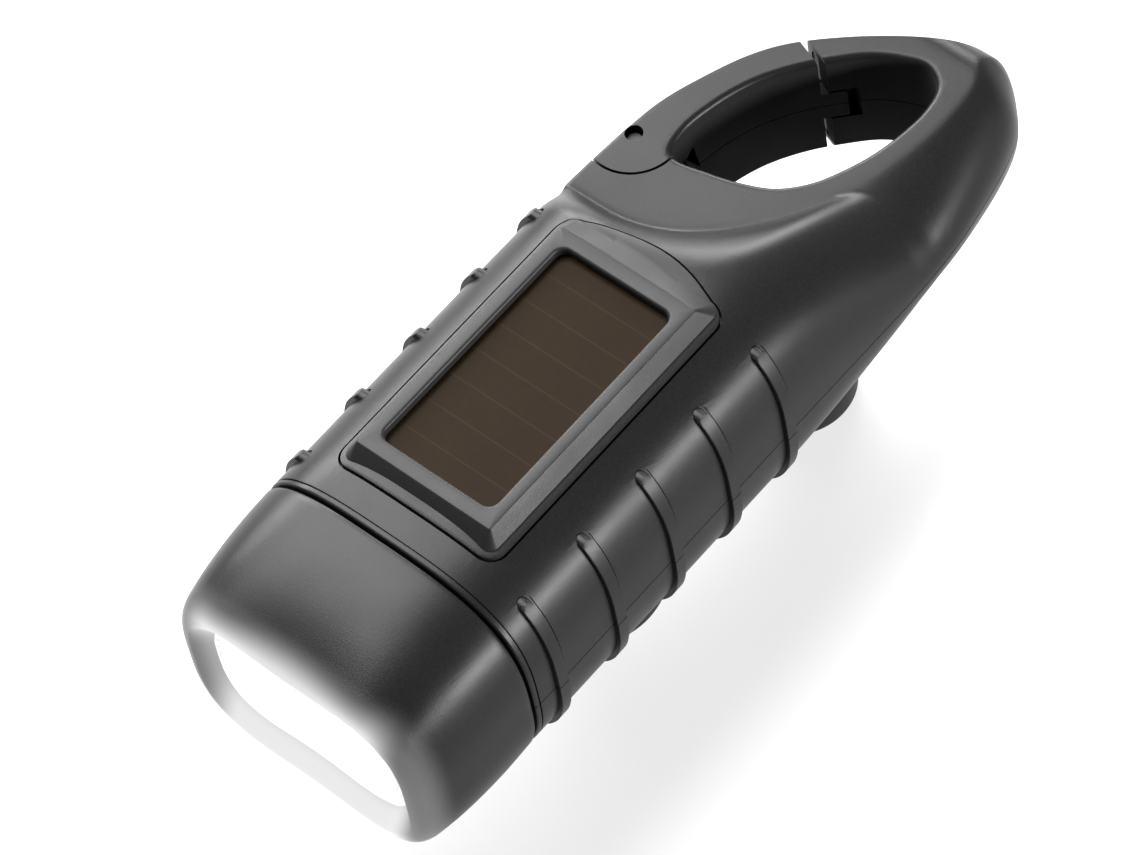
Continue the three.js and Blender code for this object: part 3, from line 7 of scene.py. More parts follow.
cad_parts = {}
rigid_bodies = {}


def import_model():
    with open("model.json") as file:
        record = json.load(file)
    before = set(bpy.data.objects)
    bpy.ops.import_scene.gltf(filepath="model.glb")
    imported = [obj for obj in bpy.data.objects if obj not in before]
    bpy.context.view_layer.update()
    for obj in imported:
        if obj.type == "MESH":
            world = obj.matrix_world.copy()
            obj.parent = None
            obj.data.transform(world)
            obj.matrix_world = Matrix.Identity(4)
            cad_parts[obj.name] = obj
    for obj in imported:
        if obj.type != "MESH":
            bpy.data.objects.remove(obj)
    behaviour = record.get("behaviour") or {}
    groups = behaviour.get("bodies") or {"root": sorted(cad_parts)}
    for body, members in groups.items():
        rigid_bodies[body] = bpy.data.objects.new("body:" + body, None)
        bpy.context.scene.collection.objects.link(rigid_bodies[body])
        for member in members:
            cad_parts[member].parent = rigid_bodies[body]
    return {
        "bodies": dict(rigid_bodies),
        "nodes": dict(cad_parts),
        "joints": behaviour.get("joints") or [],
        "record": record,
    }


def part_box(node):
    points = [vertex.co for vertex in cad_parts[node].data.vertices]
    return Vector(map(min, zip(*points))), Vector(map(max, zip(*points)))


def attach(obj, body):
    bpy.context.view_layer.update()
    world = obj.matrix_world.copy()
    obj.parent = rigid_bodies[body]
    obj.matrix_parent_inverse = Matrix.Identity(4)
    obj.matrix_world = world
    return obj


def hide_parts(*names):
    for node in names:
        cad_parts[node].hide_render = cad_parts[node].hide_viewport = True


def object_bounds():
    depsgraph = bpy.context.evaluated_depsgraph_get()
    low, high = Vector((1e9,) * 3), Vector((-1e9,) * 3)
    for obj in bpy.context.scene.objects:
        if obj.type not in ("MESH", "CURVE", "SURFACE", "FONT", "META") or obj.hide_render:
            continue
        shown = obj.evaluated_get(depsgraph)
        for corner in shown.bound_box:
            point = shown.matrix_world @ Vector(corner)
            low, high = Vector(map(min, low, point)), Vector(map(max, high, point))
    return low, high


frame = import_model()
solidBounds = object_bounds()
nodes = frame["nodes"]
millimetre = 0.001
quarter = math.pi / 2
print("frame loaded:", len(nodes), "solids")

# The gate's pin stands at a known place of the design, which ties the design's millimetres to the frame
pivotX, pivotY = -19.8, 43.6
pinLow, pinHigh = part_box("gate_pin")
origin = (pinLow + pinHigh) / 2 - Vector((pivotX, pivotY, 0.0)) * millimetre


def addObject(name, data):
    made = bpy.data.objects.new(name, data)
    bpy.context.scene.collection.objects.link(made)
    return made


class Value:
    # a socket that carries a number and can be used in sums
    def __init__(self, finish, socket):
        self.finish = finish
        self.socket = socket

    def maths(self, operation, first, second=0.0):
        return self.finish.node("ShaderNodeMath", {"operation": operation}, {0: first, 1: second})

    def __add__(self, other):
        return self.maths("ADD", self, other)

    def __radd__(self, other):
        return self.maths("ADD", other, self)

    def __sub__(self, other):
        return self.maths("SUBTRACT", self, other)

    def __rsub__(self, other):
        return self.maths("SUBTRACT", other, self)

    def __mul__(self, other):
        return self.maths("MULTIPLY", self, other)

    def __rmul__(self, other):
        return self.maths("MULTIPLY", other, self)

    def __truediv__(self, other):
        return self.maths("DIVIDE", self, other)

    def power(self, exponent):
        return self.maths("POWER", self, exponent)

    def __lt__(self, other):
        return self.maths("LESS_THAN", self, other)

    def __gt__(self, other):
        return self.maths("GREATER_THAN", self, other)


class Finish:
    # a material and the nodes that make its look
    def __init__(self, name, **fixed):
        self.material = bpy.data.materials.new(name)
        self.material.use_nodes = True
        self.tree = self.material.node_tree
        self.tree.nodes.clear()
        self.shader = self.tree.nodes.new("ShaderNodeBsdfPrincipled")
        output = self.tree.nodes.new("ShaderNodeOutputMaterial")
        self.tree.links.new(self.shader.outputs[0], output.inputs["Surface"])
        for socket, value in fixed.items():
            self.shader.inputs[socket.replace("_", " ")].default_value = value
        self.place = self.node("ShaderNodeTexCoord", output="Object")

    def node(self, kind, settings=None, inputs=None, output=0):
        made = self.tree.nodes.new(kind)
        for key, value in (settings or {}).items():
            if key == "stops":
                self.setStops(made.color_ramp, value)
            else:
                setattr(made, key, value)
        for key, value in (inputs or {}).items():
            self.join(value, made.inputs[key])
        return Value(self, made.outputs[output])

    def join(self, value, socket):
        if isinstance(value, Value):
            self.tree.links.new(value.socket, socket)
        else:
            socket.default_value = value

    def setStops(self, ramp, stops):
        while len(ramp.elements) < len(stops):
            ramp.elements.new(1.0)
        for element, (position, colour) in zip(ramp.elements, stops):
            element.position = position
            element.color = colour

    def drive(self, **sockets):
        for socket, value in sockets.items():
            self.join(value, self.shader.inputs[socket.replace("_", " ")])

    def noise(self, size, detail=2.0, roughness=0.5, stretch=None):
        # noise whose blotches are about size metres across
        where = self.place
        if stretch:
            where = self.node("ShaderNodeVectorMath", {"operation": "MULTIPLY"}, {0: where, 1: stretch})
        return self.node("ShaderNodeTexNoise", {}, {
            "Vector": where, "Scale": 1 / size, "Detail": detail, "Roughness": roughness})

    def spread(self, value, low, high):
        # takes the middle of a noise, where nearly all of it lies, to a range
        return self.ramp(value, 0.3, 0.7, low, high)

    def ramp(self, value, start, end, first, last, **settings):
        return self.node("ShaderNodeMapRange", settings, {
            "Value": value, "From Min": start, "From Max": end, "To Min": first, "To Max": last})

    def softRamp(self, value, start, end, first, last):
        return self.ramp(value, start, end, first, last, interpolation_type="SMOOTHSTEP")

    def unsigned(self, value):
        return self.node("ShaderNodeMath", {"operation": "ABSOLUTE"}, {0: value})

    def backAndForth(self, value, reach):
        return self.node("ShaderNodeMath", {"operation": "PINGPONG"}, {0: value, 1: reach})

    def blend(self, share, first, second):
        return self.node("ShaderNodeMix", {"data_type": "RGBA"}, {"Factor": share, 6: first, 7: second}, 2)

    def axis(self, letter):
        return self.node("ShaderNodeSeparateXYZ", {}, {0: self.place}, letter)

    def bump(self, height, depth, strength=1.0):
        return self.node("ShaderNodeBump", {}, {
            "Height": height, "Distance": depth, "Strength": strength}, "Normal")


def grey(level, warmth=0.0):
    return (level * (1 + warmth), level, level * (1 - warmth), 1.0)


# Moulded plastics
mouldings = {
    "housingPlastic": {
        "dark": 0.0035, "light": 0.0075, "rough": (0.31, 0.37), "grain": 0.00022, "depth": 0.00003},
    "trimPlastic": {"dark": 0.008, "light": 0.013, "rough": (0.36, 0.44), "grain": 0.0002, "depth": 0.000025},
    "crankPlastic": {
        "dark": 0.004, "light": 0.008, "rough": (0.38, 0.48), "grain": 0.00025, "depth": 0.00003},
    "buttonPlastic": {"dark": 0.006, "light": 0.01, "rough": (0.45, 0.55), "grain": 0.0003, "depth": 0.00003},
    "bobbinPlastic": {"dark": 0.03, "light": 0.05, "rough": (0.4, 0.5), "grain": 0.0004, "depth": 0.00002},
}
plasticLook = {"gloss": 0.09, "cloud": 0.009, "cloudShare": 0.25, "bump": 0.6}

# The wall of the eye is matt: where it lies round the eye's middle, in the design's millimetres
eyeWall = {"middle": (-2.65, 59.5, 0.0), "halfWidth": 12.9, "halfLength": 16.4, "slant": 1.0,
           "halfHeight": 9.3, "rough": 0.85}


def eyeWallShare(finish):
    middle = origin + Vector(eyeWall["middle"]) * millimetre
    across = (finish.axis("X") - middle.x) / (eyeWall["halfWidth"] * millimetre)
    along = (finish.axis("Y") - middle.y) / (eyeWall["halfLength"] * millimetre)
    up = finish.unsigned(finish.axis("Z") - middle.z)
    inside = (finish.unsigned(across) < 1.0) * (finish.unsigned(along) < 1.0)
    return inside * ((along - across) < eyeWall["slant"]) * (up < eyeWall["halfHeight"] * millimetre)


def mouldedPlastic(name, title=None, **fixed):
    look = mouldings[name]
    finish = Finish(title or name, Specular_IOR_Level=plasticLook["gloss"], **fixed)
    grain = finish.noise(look["grain"], detail=3.0, roughness=0.6)
    cloud = finish.noise(plasticLook["cloud"])
    speck = finish.spread(grain, 0.0, 1.0)
    tone = finish.blend(speck, grey(look["dark"]), grey(look["light"]))
    low, high = look["rough"]
    inEye = eyeWallShare(finish) if name == "housingPlastic" else 0.0
    patch = finish.spread(cloud, 0.0, plasticLook["cloudShare"])
    finish.drive(
        Base_Color=finish.blend(patch, tone, grey(look["dark"])),
        Roughness=finish.spread(cloud, low, high) + inEye * (eyeWall["rough"] - high),
        Normal=finish.bump(grain, look["depth"], plasticLook["bump"]))
    return finish


metalLook = {"line": 0.0006, "cloud": 0.004, "shade": 0.7, "cloudShare": 0.6, "smooth": 0.8, "rough": 1.25,
             "depth": 0.00001, "bump": 0.3}


def metalFinish(name, colour, rough, scratch=(40.0, 1.0, 1.0)):
    finish = Finish(name, Metallic=1.0)
    look = metalLook
    lines = finish.noise(look["line"], detail=3.0, stretch=scratch)
    cloud = finish.noise(look["cloud"])
    darker = (*(part * look["shade"] for part in colour[:3]), 1.0)
    finish.drive(
        Base_Color=finish.blend(finish.spread(cloud, 0.0, look["cloudShare"]), colour, darker),
        Roughness=finish.spread(lines, rough * look["smooth"], rough * look["rough"]),
        Normal=finish.bump(lines, look["depth"], look["bump"]))
    return finish.material


solarLook = {"brown": (0.0095, 0.0058, 0.003, 1.0), "deep": (0.0075, 0.0046, 0.0024, 1.0),
             "line": (0.0135, 0.0088, 0.0052, 1.0), "edge": (0.022, 0.0165, 0.006, 1.0),
             "lineCount": 8, "lineWidth": 0.00016, "edgeWidth": 0.0012, "edgeShare": 0.35, "grain": 0.0012,
             "coat": 0.004, "coatRough": 0.05, "gloss": 0.008, "rough": (0.28, 0.4)}


def solarFinish():
    # brown cells with thin cross lines, and a lighter border along both sides
    look = solarLook
    low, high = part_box("solar_cell")
    finish = Finish("solarFinish", Coat_Weight=look["coat"], Coat_Roughness=look["coatRough"],
                    Specular_IOR_Level=look["gloss"])
    pitch = (high.y - low.y) / look["lineCount"]
    line = finish.backAndForth(finish.axis("Y") - low.y, pitch / 2) < look["lineWidth"] / 2
    grain = finish.noise(look["grain"], detail=3.0)
    cell = finish.blend(finish.spread(grain, 0.0, 1.0), look["deep"], look["brown"])
    fromSide = (high.x - low.x) / 2 - finish.unsigned(finish.axis("X") - (low.x + high.x) / 2)
    edge = fromSide < look["edgeWidth"]
    colour = finish.blend(line, cell, look["line"])
    finish.drive(Base_Color=finish.blend(edge * look["edgeShare"], colour, look["edge"]),
                 Roughness=finish.spread(grain, *look["rough"]))
    return finish.material


lampLook = {"glow": 0.97, "ringPitch": 0.001, "ring": (0.5, 0.52, 0.54, 1.0), "white": (1.0, 0.99, 0.97, 1.0),
            "glass": (0.06, 0.06, 0.065, 1.0), "rough": 0.15, "trough": -0.2, "crest": 1.8}


def lensFinish():
    # the lit window: white, with the faint rings of the three cups behind it
    look = lampLook
    finish = Finish("lensFinish", Base_Color=look["glass"], Roughness=look["rough"],
                    Emission_Strength=look["glow"])
    flat = finish.node("ShaderNodeVectorMath", {"operation": "MULTIPLY"},
                       {0: finish.place, 1: (1.0, 0.0, 1.0)})
    nearest = None
    for name in ("led_left", "led_middle", "led_right"):
        lamp = (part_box(name)[0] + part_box(name)[1]) / 2
        reach = finish.node("ShaderNodeVectorMath", {"operation": "DISTANCE"},
                            {0: flat, 1: (lamp.x, 0.0, lamp.z)}, "Value")
        nearest = reach if nearest is None else finish.node(
            "ShaderNodeMath", {"operation": "MINIMUM"}, {0: nearest, 1: reach})
    turns = nearest * (2 * math.pi / look["ringPitch"])
    wave = finish.node("ShaderNodeMath", {"operation": "SINE"}, {0: turns})
    share = finish.ramp(wave, look["trough"], look["crest"], 0.0, 1.0)
    finish.drive(Emission_Color=finish.blend(share, look["white"], look["ring"]))
    return finish.material


# A painted glow on the bezel's lip round the lens: its strength, the shape and reach of its band, how it fades at the
# ends and upwards, and its tint
paintedLipGlow = {"strength": 0.86, "squareness": 3.1, "near": 0.3, "reach": 0.62, "start": 0.0012, "behind": 0.006,
         "low": 1.0, "high": 0.9, "endsFrom": 0.78, "endsTo": 1.08, "ends": 0.2,
         "tint": (0.95, 0.95, 0.95, 1.0)}


def paintedGlowLipFinish():
    # the bezel's plastic, with a painted glow on its lip: emission standing in for the lens's light falling there
    low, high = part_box("lens")
    middle, half = (low + high) / 2, (high - low) / 2
    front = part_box("head_bezel")[0].y
    finish = mouldedPlastic("housingPlastic", "paintedGlowLipPlastic", Emission_Strength=paintedLipGlow["strength"])
    sideShare = finish.unsigned((finish.axis("X") - middle.x) / half.x)
    upShare = finish.unsigned((finish.axis("Z") - middle.z) / half.z)
    power = paintedLipGlow["squareness"]
    out = sideShare.power(power) + upShare.power(power)
    away = out.power(1 / power) - 1.0
    across = finish.softRamp(away, paintedLipGlow["near"], paintedLipGlow["reach"], 1.0, 0.0)
    ends = finish.softRamp(sideShare, paintedLipGlow["endsFrom"], paintedLipGlow["endsTo"], 1.0, paintedLipGlow["ends"])
    back = finish.softRamp(finish.axis("Y") - front, paintedLipGlow["start"], paintedLipGlow["behind"], 1.0, 0.0)
    upward = finish.ramp(finish.axis("Z"), low.z, high.z, paintedLipGlow["low"], paintedLipGlow["high"])
    # the painted glow, as emission laid over the lip
    finish.drive(Emission_Color=finish.blend(across * back * upward * ends, grey(0.0), paintedLipGlow["tint"]))
    return finish.material


def plainFinish(name, colour, second, rough, size=0.0015, depth=0.00002, **fixed):
    # a finish of two near tones with a soft unevenness
    finish = Finish(name, **fixed)
    grain = finish.noise(size, detail=3.0)
    finish.drive(Base_Color=finish.blend(finish.spread(grain, 0.0, 1.0), colour, second),
                 Roughness=finish.spread(grain, rough * 0.85, rough * 1.15),
                 Normal=finish.bump(grain, depth, 0.4))
    return finish.material


boardLook = {"mask": (0.012, 0.075, 0.028, 1.0), "track": (0.04, 0.19, 0.06, 1.0), "coat": 0.4,
             "pitch": 0.0011, "width": 0.0003, "patch": 0.006, "patchShare": 0.48, "grain": 0.002, "rough": (0.25, 0.4)}


def boardFinish():
    # solder mask with lighter tracks under it
    look = boardLook
    finish = Finish("boardFinish", Coat_Weight=look["coat"])
    along = finish.backAndForth(finish.axis("X"), look["pitch"])
    track = (along < look["width"]) * (finish.noise(look["patch"]) > look["patchShare"])
    finish.drive(Base_Color=finish.blend(track, look["mask"], look["track"]),
                 Roughness=finish.spread(finish.noise(look["grain"]), *look["rough"]))
    return finish.material


# Coil colours: the groove tone is painted shade between the turns, the wire tone on each crest carries a painted
# highlight
coilLook = {"groove": (0.22, 0.07, 0.02, 1.0), "wire": (0.62, 0.26, 0.09, 1.0), "metal": 0.6,
            "wireRadius": 0.0001, "rough": 0.3, "roughRise": 0.15, "depth": 0.00005, "bump": 0.8}


def coilFinish():
    # enamelled wire wound round the bobbin, so its turns lie side by side along X; each turn is painted darker at its
    # sides and lighter on its crest, a painted shade between the turns and a painted highlight on them
    look = coilLook
    finish = Finish("coilFinish", Metallic=look["metal"])
    share = finish.backAndForth(finish.axis("X"), look["wireRadius"]) / look["wireRadius"]
    # painted shade in the grooves and painted highlight on the crests, from the position across each turn
    finish.drive(Base_Color=finish.blend(share, look["groove"], look["wire"]),
                 Roughness=look["rough"] + look["roughRise"] * share,
                 Normal=finish.bump(share, look["depth"], look["bump"]))
    return finish.material


cellLook = {"blue": (0.03, 0.13, 0.36, 1.0), "light": (0.05, 0.2, 0.5, 1.0), "lightShare": 0.5, "coat": 0.5,
            "coatRough": 0.1, "wrinkle": 0.0015, "stretch": (3.0, 1.0, 1.0), "rough": (0.25, 0.4),
            "depth": 0.00005, "bump": 0.4}


def cellFinish():
    # the button cells' shrink sleeve, a little wrinkled
    look = cellLook
    finish = Finish("cellFinish", Coat_Weight=look["coat"], Coat_Roughness=look["coatRough"])
    wrinkle = finish.noise(look["wrinkle"], stretch=look["stretch"])
    lighter = finish.spread(wrinkle, 0.0, look["lightShare"])
    finish.drive(Base_Color=finish.blend(lighter, look["blue"], look["light"]),
                 Roughness=finish.spread(wrinkle, *look["rough"]),
                 Normal=finish.bump(wrinkle, look["depth"], look["bump"]))
    return finish.material


finishes = {
    "housing": mouldedPlastic("housingPlastic").material,
    "panel_trim": mouldedPlastic("trimPlastic").material,
    "crank_plastic": mouldedPlastic("crankPlastic").material,
    "button_plastic": mouldedPlastic("buttonPlastic").material,
    "bobbin_plastic": mouldedPlastic("bobbinPlastic").material,
    "solar": solarFinish(),
    "clear": lensFinish(),
    "bright_tray": metalFinish("trayFinish", (0.8, 0.81, 0.83, 1.0), 0.14),
    "lamp": plainFinish("lampFinish", (0.9, 0.85, 0.6, 1.0), (0.95, 0.92, 0.78, 1.0), 0.15),
    "board": boardFinish(),
    "gears": plainFinish("gearFinish", (0.66, 0.63, 0.55, 1.0), (0.74, 0.72, 0.65, 1.0), 0.42),
    "steel": metalFinish("steelFinish", (0.55, 0.56, 0.58, 1.0), 0.3),
    "brass": metalFinish("brassFinish", (0.72, 0.5, 0.2, 1.0), 0.28),
    "magnet": metalFinish("magnetFinish", (0.1, 0.1, 0.11, 1.0), 0.5, scratch=(1.0, 1.0, 1.0)),
    "winding": coilFinish(),
    "cell_wrap": cellFinish(),
}
ownFinishes = {
    "head_bezel": paintedGlowLipFinish(),
    "gate_pin": metalFinish("blackenedSteel", (0.03, 0.03, 0.032, 1.0), 0.55),
}
slotOf = {part["node"]: part["material_slot"] for part in frame["record"]["subparts"]}
for name, solid in nodes.items():
    solid.data.materials.clear()
    solid.data.materials.append(ownFinishes.get(name) or finishes[slotOf[name]])
print("finishes:", len(finishes))


def lightAndCamera():
    stage = {"floorReach": 6.0, "floorDrop": 0.0002, "floorGrey": 0.14, "floorShade": 0.99, "floorRough": 0.6,
             "floorGrain": 0.5, "floorGlow": 0.7, "sky": 0.06}
    floorMesh = bpy.data.meshes.new("floor")
    shape = bmesh.new()
    reach = stage["floorReach"]
    for x, y in ((-reach, -reach), (reach, -reach), (reach, reach), (-reach, reach)):
        shape.verts.new((x, y, solidBounds[0].z - stage["floorDrop"]))
    shape.faces.new(shape.verts)
    shape.to_mesh(floorMesh)
    floor = addObject("floor", floorMesh)
    tone = stage["floorGrey"]
    white = plainFinish("floorFinish", grey(tone), grey(tone * stage["floorShade"]), stage["floorRough"],
                        size=stage["floorGrain"],
                        Emission_Color=grey(1.0), Emission_Strength=stage["floorGlow"])
    floorMesh.materials.append(white)
    world = bpy.data.worlds.new("studio")
    world.use_nodes = True
    sky = world.node_tree.nodes["Background"]
    sky.inputs["Color"].default_value = grey(1.0)
    sky.inputs["Strength"].default_value = stage["sky"]
    bpy.context.scene.world = world
    middle = (solidBounds[0] + solidBounds[1]) / 2
    lamps = {
        "topPanel": {"from": (-0.47, 0.10, 0.83), "size": (0.78, 0.75), "power": 48.0},
        "rearPanel": {"from": (-0.62, 0.74, 0.29), "size": (0.7, 0.4), "power": 19.0},
        "leftPanel": {"from": (-0.88, 0.28, 0.38), "size": (0.6, 0.28), "power": 18.0},
        "sidePanel": {"from": (0.95, 0.20, 0.18), "size": (0.5, 0.14), "power": 30.0},
    }
    for name, lamp in lamps.items():
        data = bpy.data.lights.new(name, "AREA")
        data.shape = "RECTANGLE"
        data.size, data.size_y = lamp["size"]
        data.energy = lamp["power"]
        light = addObject(name, data)
        light.location = middle + Vector(lamp["from"])
        light.rotation_euler = (-Vector(lamp["from"])).to_track_quat("-Z", "Y").to_euler()


# The camera looks down on the panel from the lamp end, turned a little in its own plane
view = {"azimuth": 50.0, "elevation": 56.4, "roll": -11.8, "distance": 0.7024, "lens": 173.68,
        "pictureWidth": 1140, "pictureHeight": 855, "anchor": (0.0, 0.0, 22.0), "anchorPixel": (525.4, 376.4),
        "sensor": 36.0, "nearest": 0.01, "furthest": 50.0}


def addCamera():
    azimuth, elevation, roll = (math.radians(view[key]) for key in ("azimuth", "elevation", "roll"))
    level = Vector((math.cos(azimuth), math.sin(azimuth), 0.0))
    flat = math.cos(elevation)
    back = Vector((math.sin(azimuth) * flat, -math.cos(azimuth) * flat, math.sin(elevation)))
    upright = back.cross(level)
    right = math.cos(roll) * level + math.sin(roll) * upright
    up = math.cos(roll) * upright - math.sin(roll) * level
    data = bpy.data.cameras.new("camera")
    data.sensor_width = view["sensor"]
    data.lens = view["lens"]
    perPixel = data.sensor_width / view["pictureWidth"] / data.lens
    asideX = (view["anchorPixel"][0] - view["pictureWidth"] / 2) * perPixel
    asideY = (view["anchorPixel"][1] - view["pictureHeight"] / 2) * perPixel
    anchor = origin + Vector(view["anchor"]) * millimetre
    camera = addObject("camera", data)
    camera.location = anchor - view["distance"] * (asideX * right - asideY * up - back)
    camera.rotation_mode = "QUATERNION"
    camera.rotation_quaternion = Matrix((right, up, back)).transposed().to_quaternion()
    data.clip_start = view["nearest"]
    data.clip_end = view["furthest"]
    bpy.context.scene.camera = camera


# Sizes of the housing in the design's millimetres, and its plan outline in shares of the half width
housing = {
    "halfWidth": 22.5, "halfHeight": 20.1, "squareness": 3.1, "bellyHalfHeight": 19.0,
    "bellySquareness": 2.45, "seamY": -28.5, "tailTip": 85.0, "shoulderY": 23.0,
    "flatHalfHeight": 10.0, "arcCorner": -16.3, "arcHalfWidth": 25.6, "arcRear": 51.6, "arcDepth": 20.1,
    "arcPower": 2.4, "arcSpare": 0.2, "noseLength": 7.0, "swell": 0.06, "limbSquareness": 2.0,
    "leftSquareness": 18.0, "cornerShare": 0.045, "arcRound": 0.35, "edgeRound": 0.015, "middle": 0.2,
    "creaseEnd": 0.06, "partingGap": 0.08, "ringPoints": 34, "frontSteps": 8, "shoulderSteps": 12,
    "arcSteps": 40, "arcCrowding": 1.6, "limbSteps": 34, "noseSteps": 16, "noseEnd": 0.985,
}
leftEdge = [
    (-1, 0), (-0.99, 0.14), (-0.975, 0.25), (-0.95, 0.36), (-0.915, 0.44), (-0.835, 0.53), (-0.705, 0.64),
    (-0.55, 0.72), (-0.31, 0.8), (-0.085, 0.86), (0.14, 0.912), (0.3, 0.955), (0.39, 0.985), (0.46, 1)]
rightEdge = [
    (1, 0), (1.005, 0.25), (1.005, 0.44), (0.98, 0.59), (0.917, 0.73), (0.85, 0.83), (0.77, 0.9),
    (0.64, 0.955), (0.53, 0.988), (0.46, 1)]
creaseEdge = [
    (0.413, 0.4625), (0.498, 0.578), (0.564, 0.7), (0.573, 0.79), (0.55, 0.864), (0.46, 0.925), (0.44, 1)]


def lerp(a, b, share):
    return a + (b - a) * share


def clamp(value, low=0.0, high=1.0):
    return max(low, min(high, value))


def sign(value):
    return math.copysign(1.0, value)


def roundEdge(steps):
    # a quarter round of radius one: how far in it still is, and how far down it has come
    angles = [quarter * i / steps for i in range(steps + 1)]
    return [(1 - math.sin(angle), 1 - math.cos(angle)) for angle in angles]


def bridge(t, start, startSlope, end, endSlope):
    # the cubic between two points that leaves and arrives with their slopes
    return ((2 * t**3 - 3 * t**2 + 1) * start + (t**3 - 2 * t**2 + t) * startSlope
            + (3 * t**2 - 2 * t**3) * end + (t**3 - t**2) * endSlope)


def readShares(table, at):
    # a smooth curve through a table's points
    i = 0
    while i + 2 < len(table) and table[i + 1][1] < at:
        i += 1
    (x0, s0), (x1, s1) = table[i], table[i + 1]
    before, after = table[max(i - 1, 0)], table[min(i + 2, len(table) - 1)]
    slope0 = (x1 - before[0]) / (s1 - before[1]) * (s1 - s0)
    slope1 = (after[0] - x0) / (after[1] - s0) * (s1 - s0)
    return bridge(clamp((at - s0) / (s1 - s0)), x0, slope0, x1, slope1)


def readEdge(edge, y):
    along = clamp((y - housing["shoulderY"]) / (housing["tailTip"] - housing["shoulderY"]))
    return readShares(edge, along) * housing["halfWidth"]


def arcY(x):
    share = max(0.0, (x - housing["arcCorner"]) / housing["arcHalfWidth"])
    past = max(0.0, share - 1)
    spare = housing["arcSpare"] * (1 - math.exp(-past * housing["arcPower"] / housing["arcSpare"]))
    return housing["arcRear"] - housing["arcDepth"] * (1 - min(share, 1) ** housing["arcPower"] - spare)


def arcX(y):
    share = clamp(1 - (housing["arcRear"] - y) / housing["arcDepth"])
    return housing["arcCorner"] + housing["arcHalfWidth"] * share ** (1 / housing["arcPower"])


def onShoulder(x, y):
    # how far up the shoulder a point lies, with a soft foot where it leaves the flat
    end = arcY(x)
    length = end - housing["shoulderY"]
    share, soft = (end - y) / length, housing["arcRound"] / length
    return min(1.0, (share + math.hypot(share, soft)) / 2)


def bodyRing(y, inset=0.0):
    # one ring round the housing, with a corner kept on the shoulder's crease
    size = housing
    points = size["ringPoints"]
    left = readEdge(leftEdge, y) + inset
    right = readEdge(rightEdge, y) - inset
    reach = (1 - (1 / (1 + size["swell"])) ** size["limbSquareness"]) ** (1 / size["limbSquareness"])
    settle = clamp((y - size["shoulderY"]) / (size["arcRear"] - size["shoulderY"]))
    crease = readEdge(creaseEdge, y) if y > size["arcRear"] else arcX(y)
    limbCrease = readEdge(creaseEdge, max(y, size["arcRear"]))
    rear = (limbCrease - reach * right) / (1 - reach)
    middle = clamp(lerp((left + right) / 2, rear, settle),
                   lerp(left, right, size["middle"]), lerp(right, left, size["middle"]))
    rise = onShoulder(left, y)
    leftDrop = (1 - rise) / (1 + rise / size["cornerShare"])
    noseStart = size["tailTip"] - size["noseLength"]
    nose = math.sqrt(max(0.0, 1 - ((y - noseStart) / size["noseLength"]) ** 2)) if y > noseStart else 1.0

    def sideSquareness(v, square):
        if v < 0:
            return lerp(square, size["leftSquareness"], leftDrop)
        return lerp(square, size["limbSquareness"], settle)

    def place(v, fullHeight, square):
        power = sideSquareness(v, square)
        half = middle - left if v < 0 else right - middle
        out = math.sin(quarter * abs(v))
        x = middle + sign(v) * half * out
        t = onShoulder(x, y)
        cap = size["flatHalfHeight"] + (fullHeight - size["flatHalfHeight"]) * math.sin(quarter * t) - inset
        fill = (1 + size["swell"] * (1 - t)) * max(0.0, 1 - out ** power) ** (1 / power)
        soft = size["edgeRound"] * (1 - t)
        return x, nose * cap * (fill + 1 - math.hypot(fill - 1, soft)) / 2 if t < 1 else nose * cap * fill

    held = clamp(crease, lerp(left, right, size["creaseEnd"]), lerp(right, left, size["creaseEnd"]))
    side = -1 if held < middle else 1
    half = middle - left if side < 0 else right - middle
    held = side * math.asin(abs(held - middle) / half) / quarter
    steps = [lerp(-1.0, held, i / points) for i in range(points)]
    steps += [lerp(held, 1.0, i / points) for i in range(points + 1)]
    ring = []
    halves = ((1, size["halfHeight"], size["squareness"]),
              (-1, size["bellyHalfHeight"], size["bellySquareness"]))
    for up, fullHeight, square in halves:
        places = [place(v, fullHeight, square) for v in steps]
        if up < 0:
            places.reverse()
        ring += [(x, y, up * z) for x, z in places[:-1]]
    return ring


def housingStations():
    # where the rings stand, from the seam to the tail's tip
    size = housing
    flatFront = size["arcRear"] - size["arcDepth"]
    noseStart = size["tailTip"] - size["noseLength"]

    def even(start, end, steps):
        return [lerp(start, end, i / steps) for i in range(steps)]

    stations = even(size["seamY"], size["shoulderY"], size["frontSteps"])
    stations += even(size["shoulderY"], flatFront, size["shoulderSteps"])
    steps, crowding = size["arcSteps"], size["arcCrowding"]
    stations += [flatFront + size["arcDepth"] * (i / steps) ** crowding for i in range(steps)]
    stations += even(size["arcRear"], noseStart, size["limbSteps"])
    steps, end = size["noseSteps"], size["noseEnd"]
    stations += [noseStart + size["noseLength"] * math.sin(quarter * end * i / steps)
                 for i in range(steps + 1)]
    return stations


def solidPiece(name, points, faces):
    # a closed piece from the design's millimetres
    mesh = bpy.data.meshes.new(name)
    mesh.from_pydata([origin + Vector(point) * millimetre for point in points], [], faces)
    shape = bmesh.new()
    shape.from_mesh(mesh)
    bmesh.ops.remove_doubles(shape, verts=shape.verts, dist=1e-7)
    bmesh.ops.recalc_face_normals(shape, faces=shape.faces)
    shape.to_mesh(mesh)
    shape.free()
    return addObject(name, mesh)


